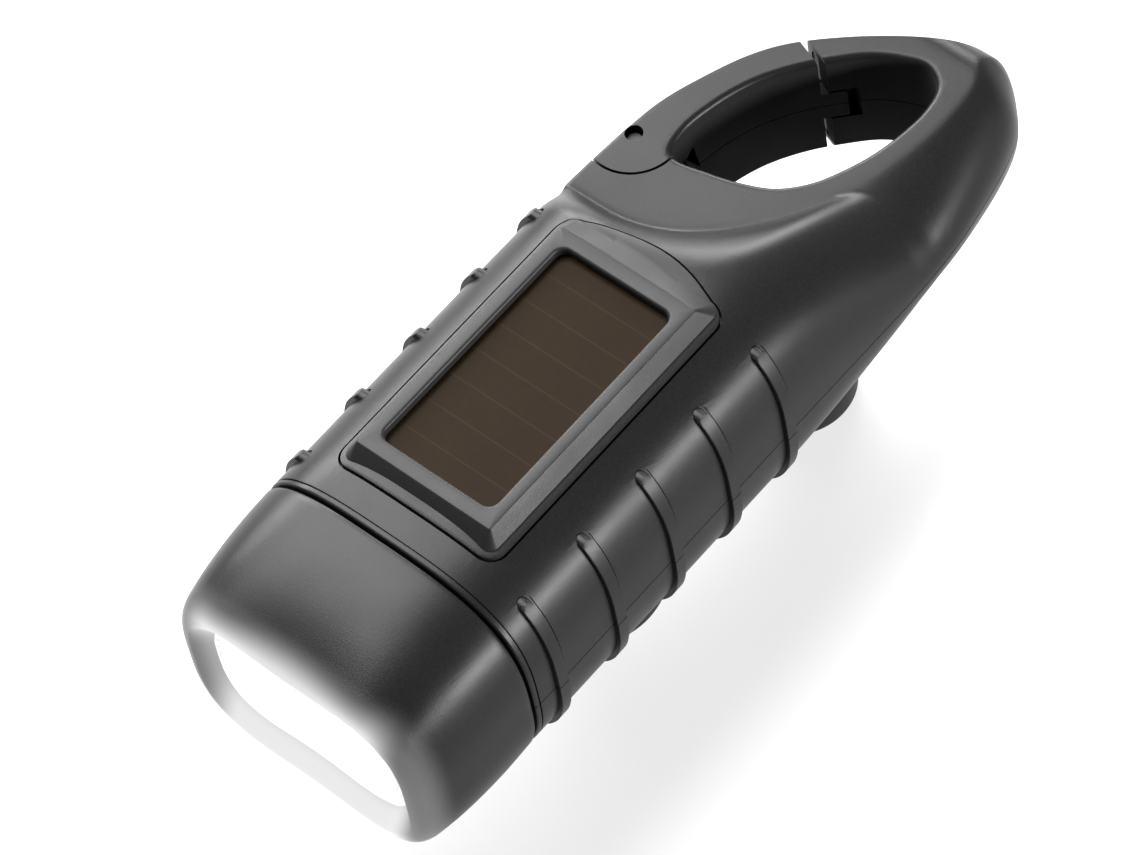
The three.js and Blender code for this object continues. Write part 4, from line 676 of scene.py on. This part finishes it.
def loft(name, rings):
    count = len(rings[0])
    points = [point for ring in rings for point in ring]
    faces = []
    for r in range(len(rings) - 1):
        for i in range(count):
            a, b = r * count + i, r * count + (i + 1) % count
            faces.append((a, b, b + count, a + count))
    for end in (0, len(rings) - 1):
        ring = rings[end]
        points.append(tuple(sum(point[k] for point in ring) / count for k in range(3)))
        faces += [(end * count + i, end * count + (i + 1) % count, len(points) - 1) for i in range(count)]
    return solidPiece(name, points, faces)


def prism(name, outline, low, high):
    return loft(name, [[(x, y, z) for x, y in outline] for z in (low, high)])


def circle(x, y, radius, steps=64):
    return [(x + radius * math.cos(4 * quarter * i / steps), y + radius * math.sin(4 * quarter * i / steps))
            for i in range(steps)]


def disc(name, x, y, radius, low, high, steps=64):
    return prism(name, circle(x, y, radius, steps), low, high)


def combine(operation, body, *tools):
    # joins, cuts or intersects a piece with others, which are used up
    for tool in tools:
        step = body.modifiers.new("step", "BOOLEAN")
        step.operation = operation
        step.solver = "MANIFOLD"
        step.object = tool
        shape = bpy.data.meshes.new_from_object(body.evaluated_get(bpy.context.evaluated_depsgraph_get()))
        body.modifiers.clear()
        body.data = shape
        bpy.data.objects.remove(tool)
    return body


def copyOf(piece, name):
    return addObject(name, piece.data.copy())


def weldedCopy(solid, name):
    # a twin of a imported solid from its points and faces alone, with the points that its faces share joined
    mesh = bpy.data.meshes.new(name)
    points, faces = solid.data.vertices, solid.data.polygons
    mesh.from_pydata([point.co for point in points], [], [face.vertices for face in faces])
    shape = bmesh.new()
    shape.from_mesh(mesh)
    bmesh.ops.remove_doubles(shape, verts=shape.verts, dist=2e-7)
    shape.to_mesh(mesh)
    shape.free()
    return addObject(name, mesh)


def joinInside(body, inside):
    # adds a piece that lies within the body, without touching the body's own faces
    shape = bmesh.new()
    shape.from_mesh(body.data)
    shape.from_mesh(inside.data)
    shape.to_mesh(body.data)
    shape.free()
    bpy.data.objects.remove(inside)
    return body


def smooth(piece, angle=30.0):
    piece.data.shade_smooth()
    piece.data.set_sharp_from_angle(angle=math.radians(angle))
    return piece


def dress(piece, slot, body, *replaced):
    piece.data.materials.clear()
    piece.data.materials.append(ownFinishes.get(replaced[0]) or finishes[slot])
    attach(piece, body)
    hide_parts(*replaced)
    return piece


# The opening of the eye, in shares of its half width and half length round its middle
eye = {"x": -2.65, "y": 59.5, "halfWidth": 12.05, "halfLength": 15.5, "edgeRound": 1.0, "edgeSteps": 7,
       "mouth": 3, "above": 2.0, "steps": 144}
eyeShares = [
    (-0.892, -1), (-0.419, -0.955), (0.046, -0.852), (0.328, -0.742), (0.585, -0.535), (0.759, -0.284),
    (0.909, 0.039), (0.983, 0.355), (1, 0.626), (0.917, 0.884), (0.668, 1), (0.402, 0.948), (0.079, 0.813),
    (-0.228, 0.587), (-0.527, 0.316), (-0.784, -0.019), (-0.942, -0.406), (-0.992, -0.755)]


def closedCurve(points, share):
    # a smooth closed curve through points spaced unevenly
    count = len(points)
    i = int(share * count) % count
    t = share * count - int(share * count)
    p = [Vector(points[(i + k) % count]) for k in (-1, 0, 1, 2)]
    d = [(p[k + 1] - p[k]).length ** 0.5 for k in range(3)]
    slope1 = ((p[1] - p[0]) / d[0] - (p[2] - p[0]) / (d[0] + d[1]) + (p[2] - p[1]) / d[1]) * d[1]
    slope2 = ((p[2] - p[1]) / d[1] - (p[3] - p[1]) / (d[1] + d[2]) + (p[3] - p[2]) / d[2]) * d[1]
    return bridge(t, p[1], slope1, p[2], slope2)


def eyeOutline(grow=0.0):
    knots = [(eye["x"] + x * eye["halfWidth"], eye["y"] + y * eye["halfLength"]) for x, y in eyeShares]
    outline = []
    for i in range(eye["steps"]):
        here = closedCurve(knots, i / eye["steps"])
        ahead = closedCurve(knots, (i + 0.5) / eye["steps"])
        behind = closedCurve(knots, (i - 0.5) / eye["steps"] % 1.0)
        along = (ahead - behind).normalized()
        outline.append((here.x + grow * along.y, here.y - grow * along.x))
    return outline


def eyeCutter(name):
    # the opening, with the rounding of its upper and lower edges
    flat, rounding = housing["flatHalfHeight"], eye["edgeRound"]
    profile = [(rounding * eye["mouth"], flat + eye["above"])]
    profile += [(rounding * inward, flat - rounding * down) for inward, down in roundEdge(eye["edgeSteps"])]
    profile += [(grow, -z) for grow, z in reversed(profile)]
    return loft(name, [[(x, y, z) for x, y in eyeOutline(grow)] for grow, z in profile])


# The gate turns in about its pin, and meets the limb at a slanting gap
gate = {"tilt": math.radians(-19.7), "reach": 26.75, "gap": 1.0,
        "innerShare": 0.45, "footShare": 0.83, "tipShare": 0.7, "knuckle": 6.5, "knuckleGap": 0.4, "lug": 3.7,
        "pin": 1.0, "pinRecess": 1.4, "fit": 0.3, "tongue": 2.3, "tongueThickness": 2.2, "tongueHalf": 2.7,
        "notchSpare": 1.6, "springPocket": 3.9, "springHalf": 1.9, "runUp": 2.0}
tall = housing["flatHalfHeight"] + eye["above"]


def fromPivot(across, along):
    c, s = math.cos(gate["tilt"]), math.sin(gate["tilt"])
    return pivotX + across * c - along * s, pivotY + across * s + along * c


def gateRegion(reach):
    half = eye["halfWidth"]
    return prism("gateRegion", [
        (pivotX, pivotY),
        (eye["x"] - half * gate["innerShare"], eye["y"] - eye["halfLength"] * gate["footShare"]),
        (eye["x"], eye["y"]), fromPivot(half * gate["tipShare"], reach), fromPivot(-half, reach),
        (pivotX - half, eye["y"]), (pivotX - half, pivotY)], -tall, tall)


def acrossGap(low, high, half):
    wide = eye["halfWidth"]
    corners = [fromPivot(-wide, low), fromPivot(wide, low), fromPivot(wide, high), fromPivot(-wide, high)]
    return prism("acrossGap", corners, -half, half)


def pinDisc(radius, low, high):
    return disc("pinDisc", pivotX, pivotY, radius, low, high, 96)


# A small three-cornered pocket in the eye's wall beside the knuckle
eyePocket = {"corners": [(49.1, 4.7), (47.3, 3.6), (49.9, -0.8)], "mouth": -12.8, "back": -17.2}


def eyePocketTool():
    ends = (eyePocket["mouth"], eyePocket["back"])
    return loft("eyePocket", [[(x, y, z) for y, z in eyePocket["corners"]] for x in ends])


def innerSkin(depth, low, high, half):
    # a curved tongue just behind the eye's wall
    band = prism("band", eyeOutline(depth), -half, half)
    combine("DIFFERENCE", band, prism("hole", eyeOutline(), -tall, tall))
    return combine("INTERSECT", band, acrossGap(low, high, half))


def halfOf(piece, up, name):
    # the part of a piece above or below the parting gap
    far, gap = 200.0, housing["partingGap"]
    low, high = (gap, far) if up else (-far, -gap)
    square = [(-far, -far), (far, -far), (far, far), (-far, far)]
    return combine("INTERSECT", copyOf(piece, name), prism("half", square, low, high))


# The solar panel's frame: outline straight in front and bowed at the rear, a sloping raise and a flat rim
panel = {"halfWidth": 13.5, "front": -23.0, "rear": 23.9, "bulge": 2.5, "corner": 2.5, "seam": 0.35,
         "above": 24.0, "past": 9.0, "floor": 17.3, "bottom": 17.6, "footHeight": 19.6, "footInset": 0.8,
         "rimHeight": 22.0, "rimHalfWidth": 11.3, "rimFront": -20.25, "rimRear": 20.7,
         "rimCorner": 0.3, "windowHalfWidth": 9.4, "windowMiddle": 0.225,
         "windowHalfLength": 18.1, "windowCorner": 1.5, "chamfer": 0.5, "chamferSteps": 5, "cellBorder": 1.2,
         "cellTop": 20.7, "cutter": 40.0,
         "softEdge": ((0.0, 0.13), (0.04, 0.2), (0.1, 0.26), (0.18, 0.31), (0.3, 0.35)),
         "crown": ((0, 0), (0.5, 0.5), (0.93, 0.93), (0.975, 0.968), (1.01, 0.99), (1.05, 1))}


def bowedRing(half, front, back, bulge, radius, steps=10, bowSteps=40):
    ring = []

    def corner(x, y, start):
        for i in range(steps + 1):
            angle = start + quarter * i / steps
            ring.append((x + radius * math.cos(angle), y + radius * math.sin(angle)))

    corner(radius - half, front + radius, 2 * quarter)
    corner(half - radius, front + radius, 3 * quarter)
    corner(half - radius, back - radius, 0)
    for i in range(1, bowSteps):
        x = lerp(half - radius, radius - half, i / bowSteps)
        ring.append((x, back + bulge * math.sin(math.pi * i / bowSteps)))
    corner(radius - half, back - radius, quarter)
    return ring


def frameOutline(grow):
    size = panel
    return bowedRing(size["halfWidth"] + grow, size["front"] - grow, size["rear"] + grow, size["bulge"],
                     size["corner"] + grow)


def windowOutline(grow):
    size = panel
    reach = size["windowHalfLength"] + grow
    middle = size["windowMiddle"]
    return bowedRing(size["windowHalfWidth"] + grow, middle - reach, middle + reach, 0.0,
                     size["windowCorner"] + max(0.0, grow))


def stack(name, *layers):
    # a piece lofted upwards through outlines at their heights
    return loft(name, [[(x, y, z) for x, y in outline] for outline, z in layers])


def makePanel():
    size = panel
    stations = [y for y in housingStations() if y < size["rear"] + size["past"]]
    frame = None
    for inset, lip in size["softEdge"]:
        layer = prism("panelFrame", frameOutline(-inset), size["bottom"], size["above"])
        combine("INTERSECT", layer, loft("swollen", [bodyRing(y, -lip) for y in stations]))
        frame = layer if frame is None else combine("UNION", frame, layer)

    def slope(share):
        # outline of the sloping raise between its foot and the rim
        inset = size["footInset"]
        foot = (size["halfWidth"] - inset, size["front"] + inset, size["rear"], size["bulge"] - inset,
                size["corner"] - inset)
        rim = (size["rimHalfWidth"], size["rimFront"], size["rimRear"], 0.0, size["rimCorner"])
        return bowedRing(*(lerp(low, high, share) for low, high in zip(foot, rim)))

    rise = size["rimHeight"] - size["footHeight"]
    crown = [(slope(share), size["footHeight"] + rise * height) for share, height in size["crown"]]
    combine("UNION", frame, stack("raised", (slope(0), size["bottom"]), *crown))
    top, below = size["rimHeight"], size["bottom"] - 1.0
    combine("DIFFERENCE", frame, prism("pocket", windowOutline(size["cellBorder"]), below, size["cellTop"]))
    chamfer = size["chamfer"]
    mouth = [(windowOutline(chamfer * inward), top - chamfer * down)
             for inward, down in roundEdge(size["chamferSteps"])]
    opening = stack("opening", (windowOutline(chamfer * 3), top + 1.0), *mouth, (windowOutline(0.0), below))
    combine("DIFFERENCE", frame, opening)
    dress(smooth(frame), "panel_trim", "housing", "panel_frame")
    print("panel", len(frame.data.polygons), "faces")


# Grip ribs: each is the housing's own surface, swollen a little inside a stadium drawn on its side
ribs = {"count": 5, "pitch": 11.65, "first": -23.5, "width": 2.0, "rise": 0.65, "top": 16.0, "bottom": -14.6,
        "endShare": 0.68, "layers": 5, "taper": 0.16, "groove": 0.16, "grooveBack": 0.2,
        "grooveDepth": 0.16, "steps": 8, "through": 40.0}


def ribCutter(y, halfWidth):
    # a stadium whose ends are drawn in, because the surface slopes away there
    grow = halfWidth - ribs["width"] / 2
    end = halfWidth * ribs["endShare"]
    steps, through = ribs["steps"], ribs["through"]
    outline = []
    for centre, start in ((ribs["top"] + grow - end, 0.0), (ribs["bottom"] - grow + end, 2 * quarter)):
        for i in range(2 * steps + 1):
            angle = start + quarter * i / steps
            outline.append((y + halfWidth * math.cos(angle), centre + end * math.sin(angle)))
    return loft("rib", [[(x, along, up) for along, up in outline] for x in (-through, through)])


def addRibs(body):
    for k in range(ribs["count"]):
        y = ribs["first"] + k * ribs["pitch"]
        near = (y - 2, y, y + 2)
        groove = ribCutter(y + ribs["grooveBack"], ribs["width"] / 2 + ribs["groove"])
        combine("DIFFERENCE", groove, loft("floor", [bodyRing(at, ribs["grooveDepth"]) for at in near]))
        combine("DIFFERENCE", body, groove)
        for layer in range(1, ribs["layers"] + 1):
            angle = quarter * layer / ribs["layers"]
            rise = ribs["rise"] * math.sin(angle)
            narrow = ribs["width"] / 2 * ribs["taper"] * (1 - math.cos(angle))
            half = ribs["width"] / 2 - narrow
            swollen = loft("swollen", [bodyRing(at, -rise) for at in near])
            combine("INTERSECT", swollen, ribCutter(y, half))
            combine("UNION", body, swollen)
    return body


# Openings in the belly: wells of the case screws, and the seat of the crank's bush
wells = {"places": [(0.72, -0.842), (-0.72, -0.863), (-0.764, -0.091), (0.782, 0.968)], "radius": 2.5,
         "top": -7.0, "limbX": 13.9, "limbY": 72.5, "limbTop": -6.0, "grip": 28.5, "bush": 5.15,
         "bushTop": -17.7, "bore": 3.95, "boreTop": -12.65, "crankX": 3.3, "crankY": 0.0, "seat": 9.6,
         "seatTop": -9.0, "button": 3.45, "buttonY": -17.7, "buttonEnds": (-30.0, -19.0), "below": -30.0}


def surfaceHoles():
    half, below = housing["halfWidth"], wells["below"]
    holes = [(x * half, y * wells["grip"], wells["radius"], wells["top"]) for x, y in wells["places"]]
    holes += [(wells["limbX"], wells["limbY"], wells["radius"], wells["limbTop"]),
              (wells["crankX"], wells["crankY"], wells["bush"], wells["bushTop"]),
              (wells["crankX"], wells["crankY"], wells["bore"], wells["boreTop"])]
    tools = [disc("well", x, y, radius, below, top) for x, y, radius, top in holes]
    tools.append(loft("button", [[(x, wells["buttonY"] + y, z) for y, z in circle(0, 0, wells["button"])]
                                 for x in wells["buttonEnds"]]))
    return tools


# The housing's front edge and the fine groove behind it: distance from the seam, and depth
seamProfile = [
    (0.0, 0.4), (0.08, 0.16), (0.25, 0.03), (0.45, 0.0), (0.75, 0.0), (0.82, 0.25), (1.0, 0.25), (1.07, 0.04),
    (1.3, 0.0)]
skin = {"thickness": 1.3, "overlap": 0.5, "coarseEnd": 1.5, "ahead": 3.0}


def makeShells():
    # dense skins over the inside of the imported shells
    stations = housingStations()
    front = [(stations[0] + along, depth) for along, depth in seamProfile]
    rings = [bodyRing(y, depth) for y, depth in front] + [bodyRing(y) for y in stations[1:]]
    bulk = addRibs(loft("bulk", rings))
    combine("DIFFERENCE", bulk, eyeCutter("eye"))
    ring = copyOf(bulk, "ring")
    coarse = [y for y in stations if y < housing["tailTip"] - skin["coarseEnd"]]

    def core(depth):
        inner = loft("core", [bodyRing(y, depth) for y in [coarse[0] - skin["ahead"]] + coarse[::2]])
        return combine("DIFFERENCE", inner, prism("eyeBand", eyeOutline(depth), -tall * 2, tall * 2))

    seat = disc("seat", wells["crankX"], wells["crankY"], wells["seat"], -housing["bellyHalfHeight"],
                wells["seatTop"], 96)
    combine("UNION", bulk, seat)
    combine("DIFFERENCE", bulk, core(skin["thickness"]))
    past, gap, lugHalf = gate["reach"] + gate["gap"] / 2, gate["knuckleGap"], gate["lug"]
    recess = prism("recess", frameOutline(panel["seam"]), panel["floor"], panel["cutter"])
    outer = gate["knuckle"] + gap
    ears = [pinDisc(outer, lugHalf, tall), pinDisc(outer, -tall, -lugHalf)]
    combine("DIFFERENCE", bulk, recess, gateRegion(past), *ears, *surfaceHoles())
    lug = combine("INTERSECT", copyOf(ring, "lug"), pinDisc(gate["knuckle"] - gap, -lugHalf, lugHalf))
    combine("UNION", bulk, lug)
    notchHalf = gate["tongueHalf"] + gap
    notch = prism("notch", eyeOutline(gate["tongueThickness"] + gap), -notchHalf, notchHalf)
    combine("INTERSECT", notch,
            acrossGap(past - gate["runUp"], past + gate["tongue"] + gate["notchSpare"], notchHalf))
    pinEnd = housing["flatHalfHeight"] - gate["pinRecess"] + gate["fit"]
    combine("DIFFERENCE", bulk, notch, pinDisc(gate["pin"] + gate["fit"], -pinEnd, pinEnd),
            pinDisc(gate["springPocket"], -gate["springHalf"], gate["springHalf"]))
    for name, up in (("top_shell", True), ("bottom_shell", False)):
        shell = halfOf(bulk, up, name.split("_")[0] + "Shell")
        inside = weldedCopy(nodes[name], "inside")
        combine("INTERSECT", inside, core(skin["thickness"] - skin["overlap"]))
        dress(smooth(joinInside(shell, inside)), "housing", "housing", name)
        print(shell.name, len(shell.data.polygons), "faces")
    bpy.data.objects.remove(bulk)
    return ring


def makeGate(ring):
    short, past = gate["reach"] - gate["gap"] / 2, gate["reach"] + gate["gap"] / 2
    start, end = short - gate["runUp"], past + gate["tongue"]
    clear = gate["lug"] + gate["fit"]
    region = combine("UNION", gateRegion(short), pinDisc(gate["knuckle"], -tall, tall))
    limb = combine("INTERSECT", ring, region)
    combine("DIFFERENCE", limb, pinDisc(gate["knuckle"], -clear, clear))
    combine("UNION", limb, innerSkin(gate["tongueThickness"], start, end, gate["tongueHalf"]))
    combine("DIFFERENCE", limb, pinDisc(gate["pin"] + gate["fit"], -tall, tall), eyePocketTool())
    for name, up in (("gate_top", True), ("gate_bottom", False)):
        half = halfOf(limb, up, name.replace("_t", "T").replace("_b", "B"))
        dress(smooth(half), "housing", "gate", name)
        print(half.name, len(half.data.polygons), "faces")
    bpy.data.objects.remove(limb)


# Lamp head: half width and half height from the seam to the front, in shares
head = {"length": 20.6, "waist": 0.2, "rimWaist": 0.12, "seam": 0.35, "wall": 2.0, "lip": 2.2,
        "lipEdge": 0.15, "crestRound": 0.16, "dome": 0.9, "domeEdge": 2.5, "domeSteps": 10, "lensFit": 0.06,
        "glassHalfWidth": 16.1, "glassHalfHeight": 11.2, "glassLedge": 1.0, "glassThickness": 1.8, "fit": 0.3,
        "points": 128, "stations": 40, "crowding": 1.7, "start": 0.5, "hollowSteps": 12, "funnelSteps": 24,
        "funnelCrowding": 1.5, "softEdge": ((0.0, 0.45), (0.12, 0.2), (0.35, 0.05)), "frontEdge": 0.12}
headWidth = [
    (1, 0), (0.992, 0.3), (0.97, 0.6), (0.935, 0.86), (0.912, 0.93), (0.885, 0.97), (0.856, 0.992), (0.825, 1)]
headHeight = [
    (1, 0), (0.985, 0.3), (0.945, 0.6), (0.88, 0.86), (0.85, 0.93), (0.815, 0.97), (0.775, 0.992),
    (0.73, 1)]


def lobed(y, halfWidth, top, bottom, waist, lowerSquareness, upperSquareness):
    # a rounded rectangle drawn in above and below its middle
    ring = []
    for i in range(head["points"]):
        angle = 4 * quarter * i / head["points"]
        c, s = math.cos(angle), math.sin(angle)
        power = 2 / (lowerSquareness if s < 0 else upperSquareness)
        across, up = sign(c) * abs(c) ** power, sign(s) * abs(s) ** power
        dip = 1 - waist * (1 + math.cos(math.pi * across)) / 2
        ring.append((halfWidth * across, y, (bottom if s < 0 else top) * up * dip))
    return ring


def headRing(y, inset=0.0):
    at = clamp((housing["seamY"] - y) / head["length"])
    share = readShares(headHeight, at)
    lower = lerp(housing["bellyHalfHeight"], housing["halfHeight"], at) * share - inset
    halfWidth = housing["halfWidth"] * readShares(headWidth, at) - inset
    square = housing["squareness"]
    return lobed(y, halfWidth, housing["halfHeight"] * share - inset, lower, head["rimWaist"] * at * at,
                 lerp(housing["bellySquareness"], square, at), square)


def windowRing(y, grow=0.0):
    halfHeight = head["glassHalfHeight"] + grow
    square = housing["squareness"]
    return lobed(y, head["glassHalfWidth"] + grow, halfHeight, halfHeight, head["waist"], square, square)


def makeHead():
    seamY, frontY = housing["seamY"], housing["seamY"] - head["length"]
    noseY = frontY + head["lip"]
    steps = head["stations"]
    ends = [1 - (1 - i / steps) ** head["crowding"] for i in range(steps + 1)]
    back = seamY - head["seam"]
    rings = [headRing(back - ahead, inset) for ahead, inset in head["softEdge"]]
    rings += [headRing(lerp(back - head["start"], frontY + 0.01, at)) for at in ends]
    bezel = loft("headBezel", rings + [headRing(frontY, head["frontEdge"])])
    steps = head["hollowSteps"]
    places = [seamY + 1.0] + [lerp(seamY, noseY, i / steps) for i in range(steps + 1)]
    hollow = loft("hollow", [headRing(y, head["wall"]) for y in places])
    # the lip rolls over into a funnel round the window
    crest = head["crestRound"]
    deepest = 1 + crest * (math.exp(-1 / crest) - 1)
    outer, inner = headRing(frontY, head["lipEdge"]), windowRing(noseY)
    funnel = [[(x, frontY - 1.0, z) for x, y, z in outer]]
    steps = head["funnelSteps"]
    for i in range(steps + 1):
        share = (i / steps) ** head["funnelCrowding"]
        depth = head["lip"] * (share + crest * (math.exp(-share / crest) - 1)) / deepest
        funnel.append([(lerp(a[0], b[0], share), frontY + depth, lerp(a[2], b[2], share))
                       for a, b in zip(outer, inner)])
    window = loft("window", funnel + [windowRing(noseY + 2.0)])
    combine("DIFFERENCE", bezel, hollow, window)
    dress(smooth(bezel), "housing", "housing", "head_bezel")
    front = frontY + head["lip"] + head["fit"]
    edge, thick = head["glassLedge"], head["glassThickness"]
    steps = head["domeSteps"]
    dome = []
    for i in range(steps + 1):
        rise = head["dome"] * math.sin(quarter * (1 - i / steps))
        inward = head["domeEdge"] * (1 - math.sin(quarter * i / steps))
        dome.append(windowRing(front - rise, -head["lensFit"] - inward))
    lens = loft("lensPane", dome + [windowRing(front, edge), windowRing(front + thick, edge)])
    dress(smooth(lens), "clear", "housing", "lens")
    print("head", len(bezel.data.polygons), "faces")


# Crank: an arm narrowing from its hub to the knob, with the knob on a pin at its end
crank = {"x": 3.3, "y": 0.0, "length": 44.0, "top": -19.5, "bottom": -24.1, "hub": 11.5, "end": 8.6,
         "leave": math.radians(25), "pull": 8.0, "topRound": 0.5, "bottomRound": 1.0, "shaft": 2.5,
         "web": -21.2, "webBottom": -22.1, "screw": 1.4, "screwHead": 2.6, "cap": 5.0, "capSeat": -23.3,
         "capSoft": 0.05, "capRound": 0.5, "fit": 0.3, "pin": 2.1, "pinTop": -20.5, "turnSteps": 28, "sideSteps": 24}
knob = {"radius": 9.0, "top": -24.4, "bottom": -31.4, "round": 1.4, "well": 3.8, "dish": 0.5, "dishSteps": 4,
        "wellTop": -29.4}


def armOutline(grow):
    size = crank
    hub, end, leave = size["hub"] + grow, size["end"] + grow, size["leave"]
    c, s, steps = math.cos(leave), math.sin(leave), size["turnSteps"]

    def turn(radius, start, finish, y):
        angles = [lerp(start, finish, i / steps) for i in range(steps + 1)]
        return [(radius * math.cos(angle), y + radius * math.sin(angle)) for angle in angles]

    right = turn(hub, -quarter, leave, 0.0)
    a, d = Vector((hub * c, hub * s)), Vector((end * c, size["length"] - end * s))
    b, e = a + size["pull"] * Vector((-s, c)), d - size["pull"] * Vector((s, c))
    for i in range(1, size["sideSteps"]):
        t = i / size["sideSteps"]
        at = (1 - t)**3 * a + 3 * (1 - t)**2 * t * b + 3 * (1 - t) * t**2 * e + t**3 * d
        right.append((at.x, at.y))
    right += turn(end, -leave, quarter, size["length"])
    outline = right + [(-x, y) for x, y in reversed(right[1:-1])]
    return [(size["x"] + x, size["y"] + y) for x, y in outline]


def rounded(high, low, topRound, lowRound, steps=6):
    # heights and insets down a side whose two edges are rounded
    upper = [(topRound * inward, high - topRound * down) for inward, down in roundEdge(steps)]
    return upper + [(lowRound * down, low + lowRound * inward) for inward, down in roundEdge(steps)]


def turnedRings(x, y, profile, steps=96):
    return [[(a, b, z) for a, b in circle(x, y, radius, steps)] for radius, z in profile]


def makeCrank():
    size = crank
    side = rounded(size["top"], size["bottom"], size["topRound"], size["bottomRound"])
    arm = stack("crankArm", *((armOutline(-inset), z) for inset, z in side))
    at = (size["x"], size["y"])
    below, above = size["bottom"] - 1.0, size["top"] + 1.0
    end = (size["x"], size["y"] + size["length"])
    combine("DIFFERENCE", arm, disc("socket", *at, size["shaft"], size["web"], above),
            disc("hole", *at, size["screw"], below, above),
            disc("screwRoom", *at, size["screwHead"], below, size["webBottom"]),
            disc("capRoom", *at, size["cap"] + size["fit"], below, size["capSeat"] + size["fit"], 96),
            disc("pinHole", *end, size["pin"], below, size["pinTop"]))
    dress(smooth(arm), "crank_plastic", "crank", "crank_arm")
    side = rounded(size["capSeat"], size["bottom"], size["capSoft"], size["capRound"])
    cap = loft("crankCap", turnedRings(*at, [(size["cap"] - inset, z) for inset, z in side]))
    dress(smooth(cap), "crank_plastic", "crank", "crank_cap")
    size = knob
    side = rounded(size["top"], size["bottom"], size["round"], size["round"])
    well, dish = size["well"], size["dish"]
    profile = [(size["radius"] - inset, z) for inset, z in side]
    profile += [(well + dish * down * 0.5, size["bottom"] + dish * inward)
                for inward, down in reversed(roundEdge(size["dishSteps"]))]
    grip = loft("crankKnob", turnedRings(*end, profile + [(well, size["wellTop"])]))
    combine("DIFFERENCE", grip, disc("bore", *end, crank["pin"], size["bottom"] - 1.0, size["top"] + 1.0))
    dress(smooth(grip), "crank_plastic", "knob", "crank_knob")
    print("crank", len(arm.data.polygons) + len(grip.data.polygons), "faces")


# Side button: a low dome with a flange behind the wall
button = {"radius": 3.2, "proud": 0.9, "flange": 0.9, "flangeLow": -19.7, "flangeThickness": 0.9, "y": -17.7,
          "dome": 0.35, "domeSteps": 10, "edgeShare": 0.6}


def makeButton():
    size = button
    face = -housing["halfWidth"] - size["proud"]
    radius, flangeLow = size["radius"], size["flangeLow"]
    profile = []
    for i in range(1, size["domeSteps"]):
        angle = quarter * i / size["domeSteps"]
        profile.append((radius * math.sin(angle), face + size["dome"] * (1 - math.cos(angle))))
    flange = radius + size["flange"]
    profile += [(radius, face + size["proud"] * size["edgeShare"]), (radius, flangeLow), (flange, flangeLow),
                (flange, flangeLow + size["flangeThickness"])]
    rings = [[(x, size["y"] + a, b) for a, b in circle(0, 0, radius, 72)] for radius, x in profile]
    dress(smooth(loft("sideButton", rings)), "button_plastic", "button", "side_button")


makeGate(makeShells())
makePanel()
makeHead()
makeCrank()
makeButton()
lightAndCamera()
addCamera()
bpy.context.scene.view_settings.view_transform = "Standard"
print("stage, lights and camera set")
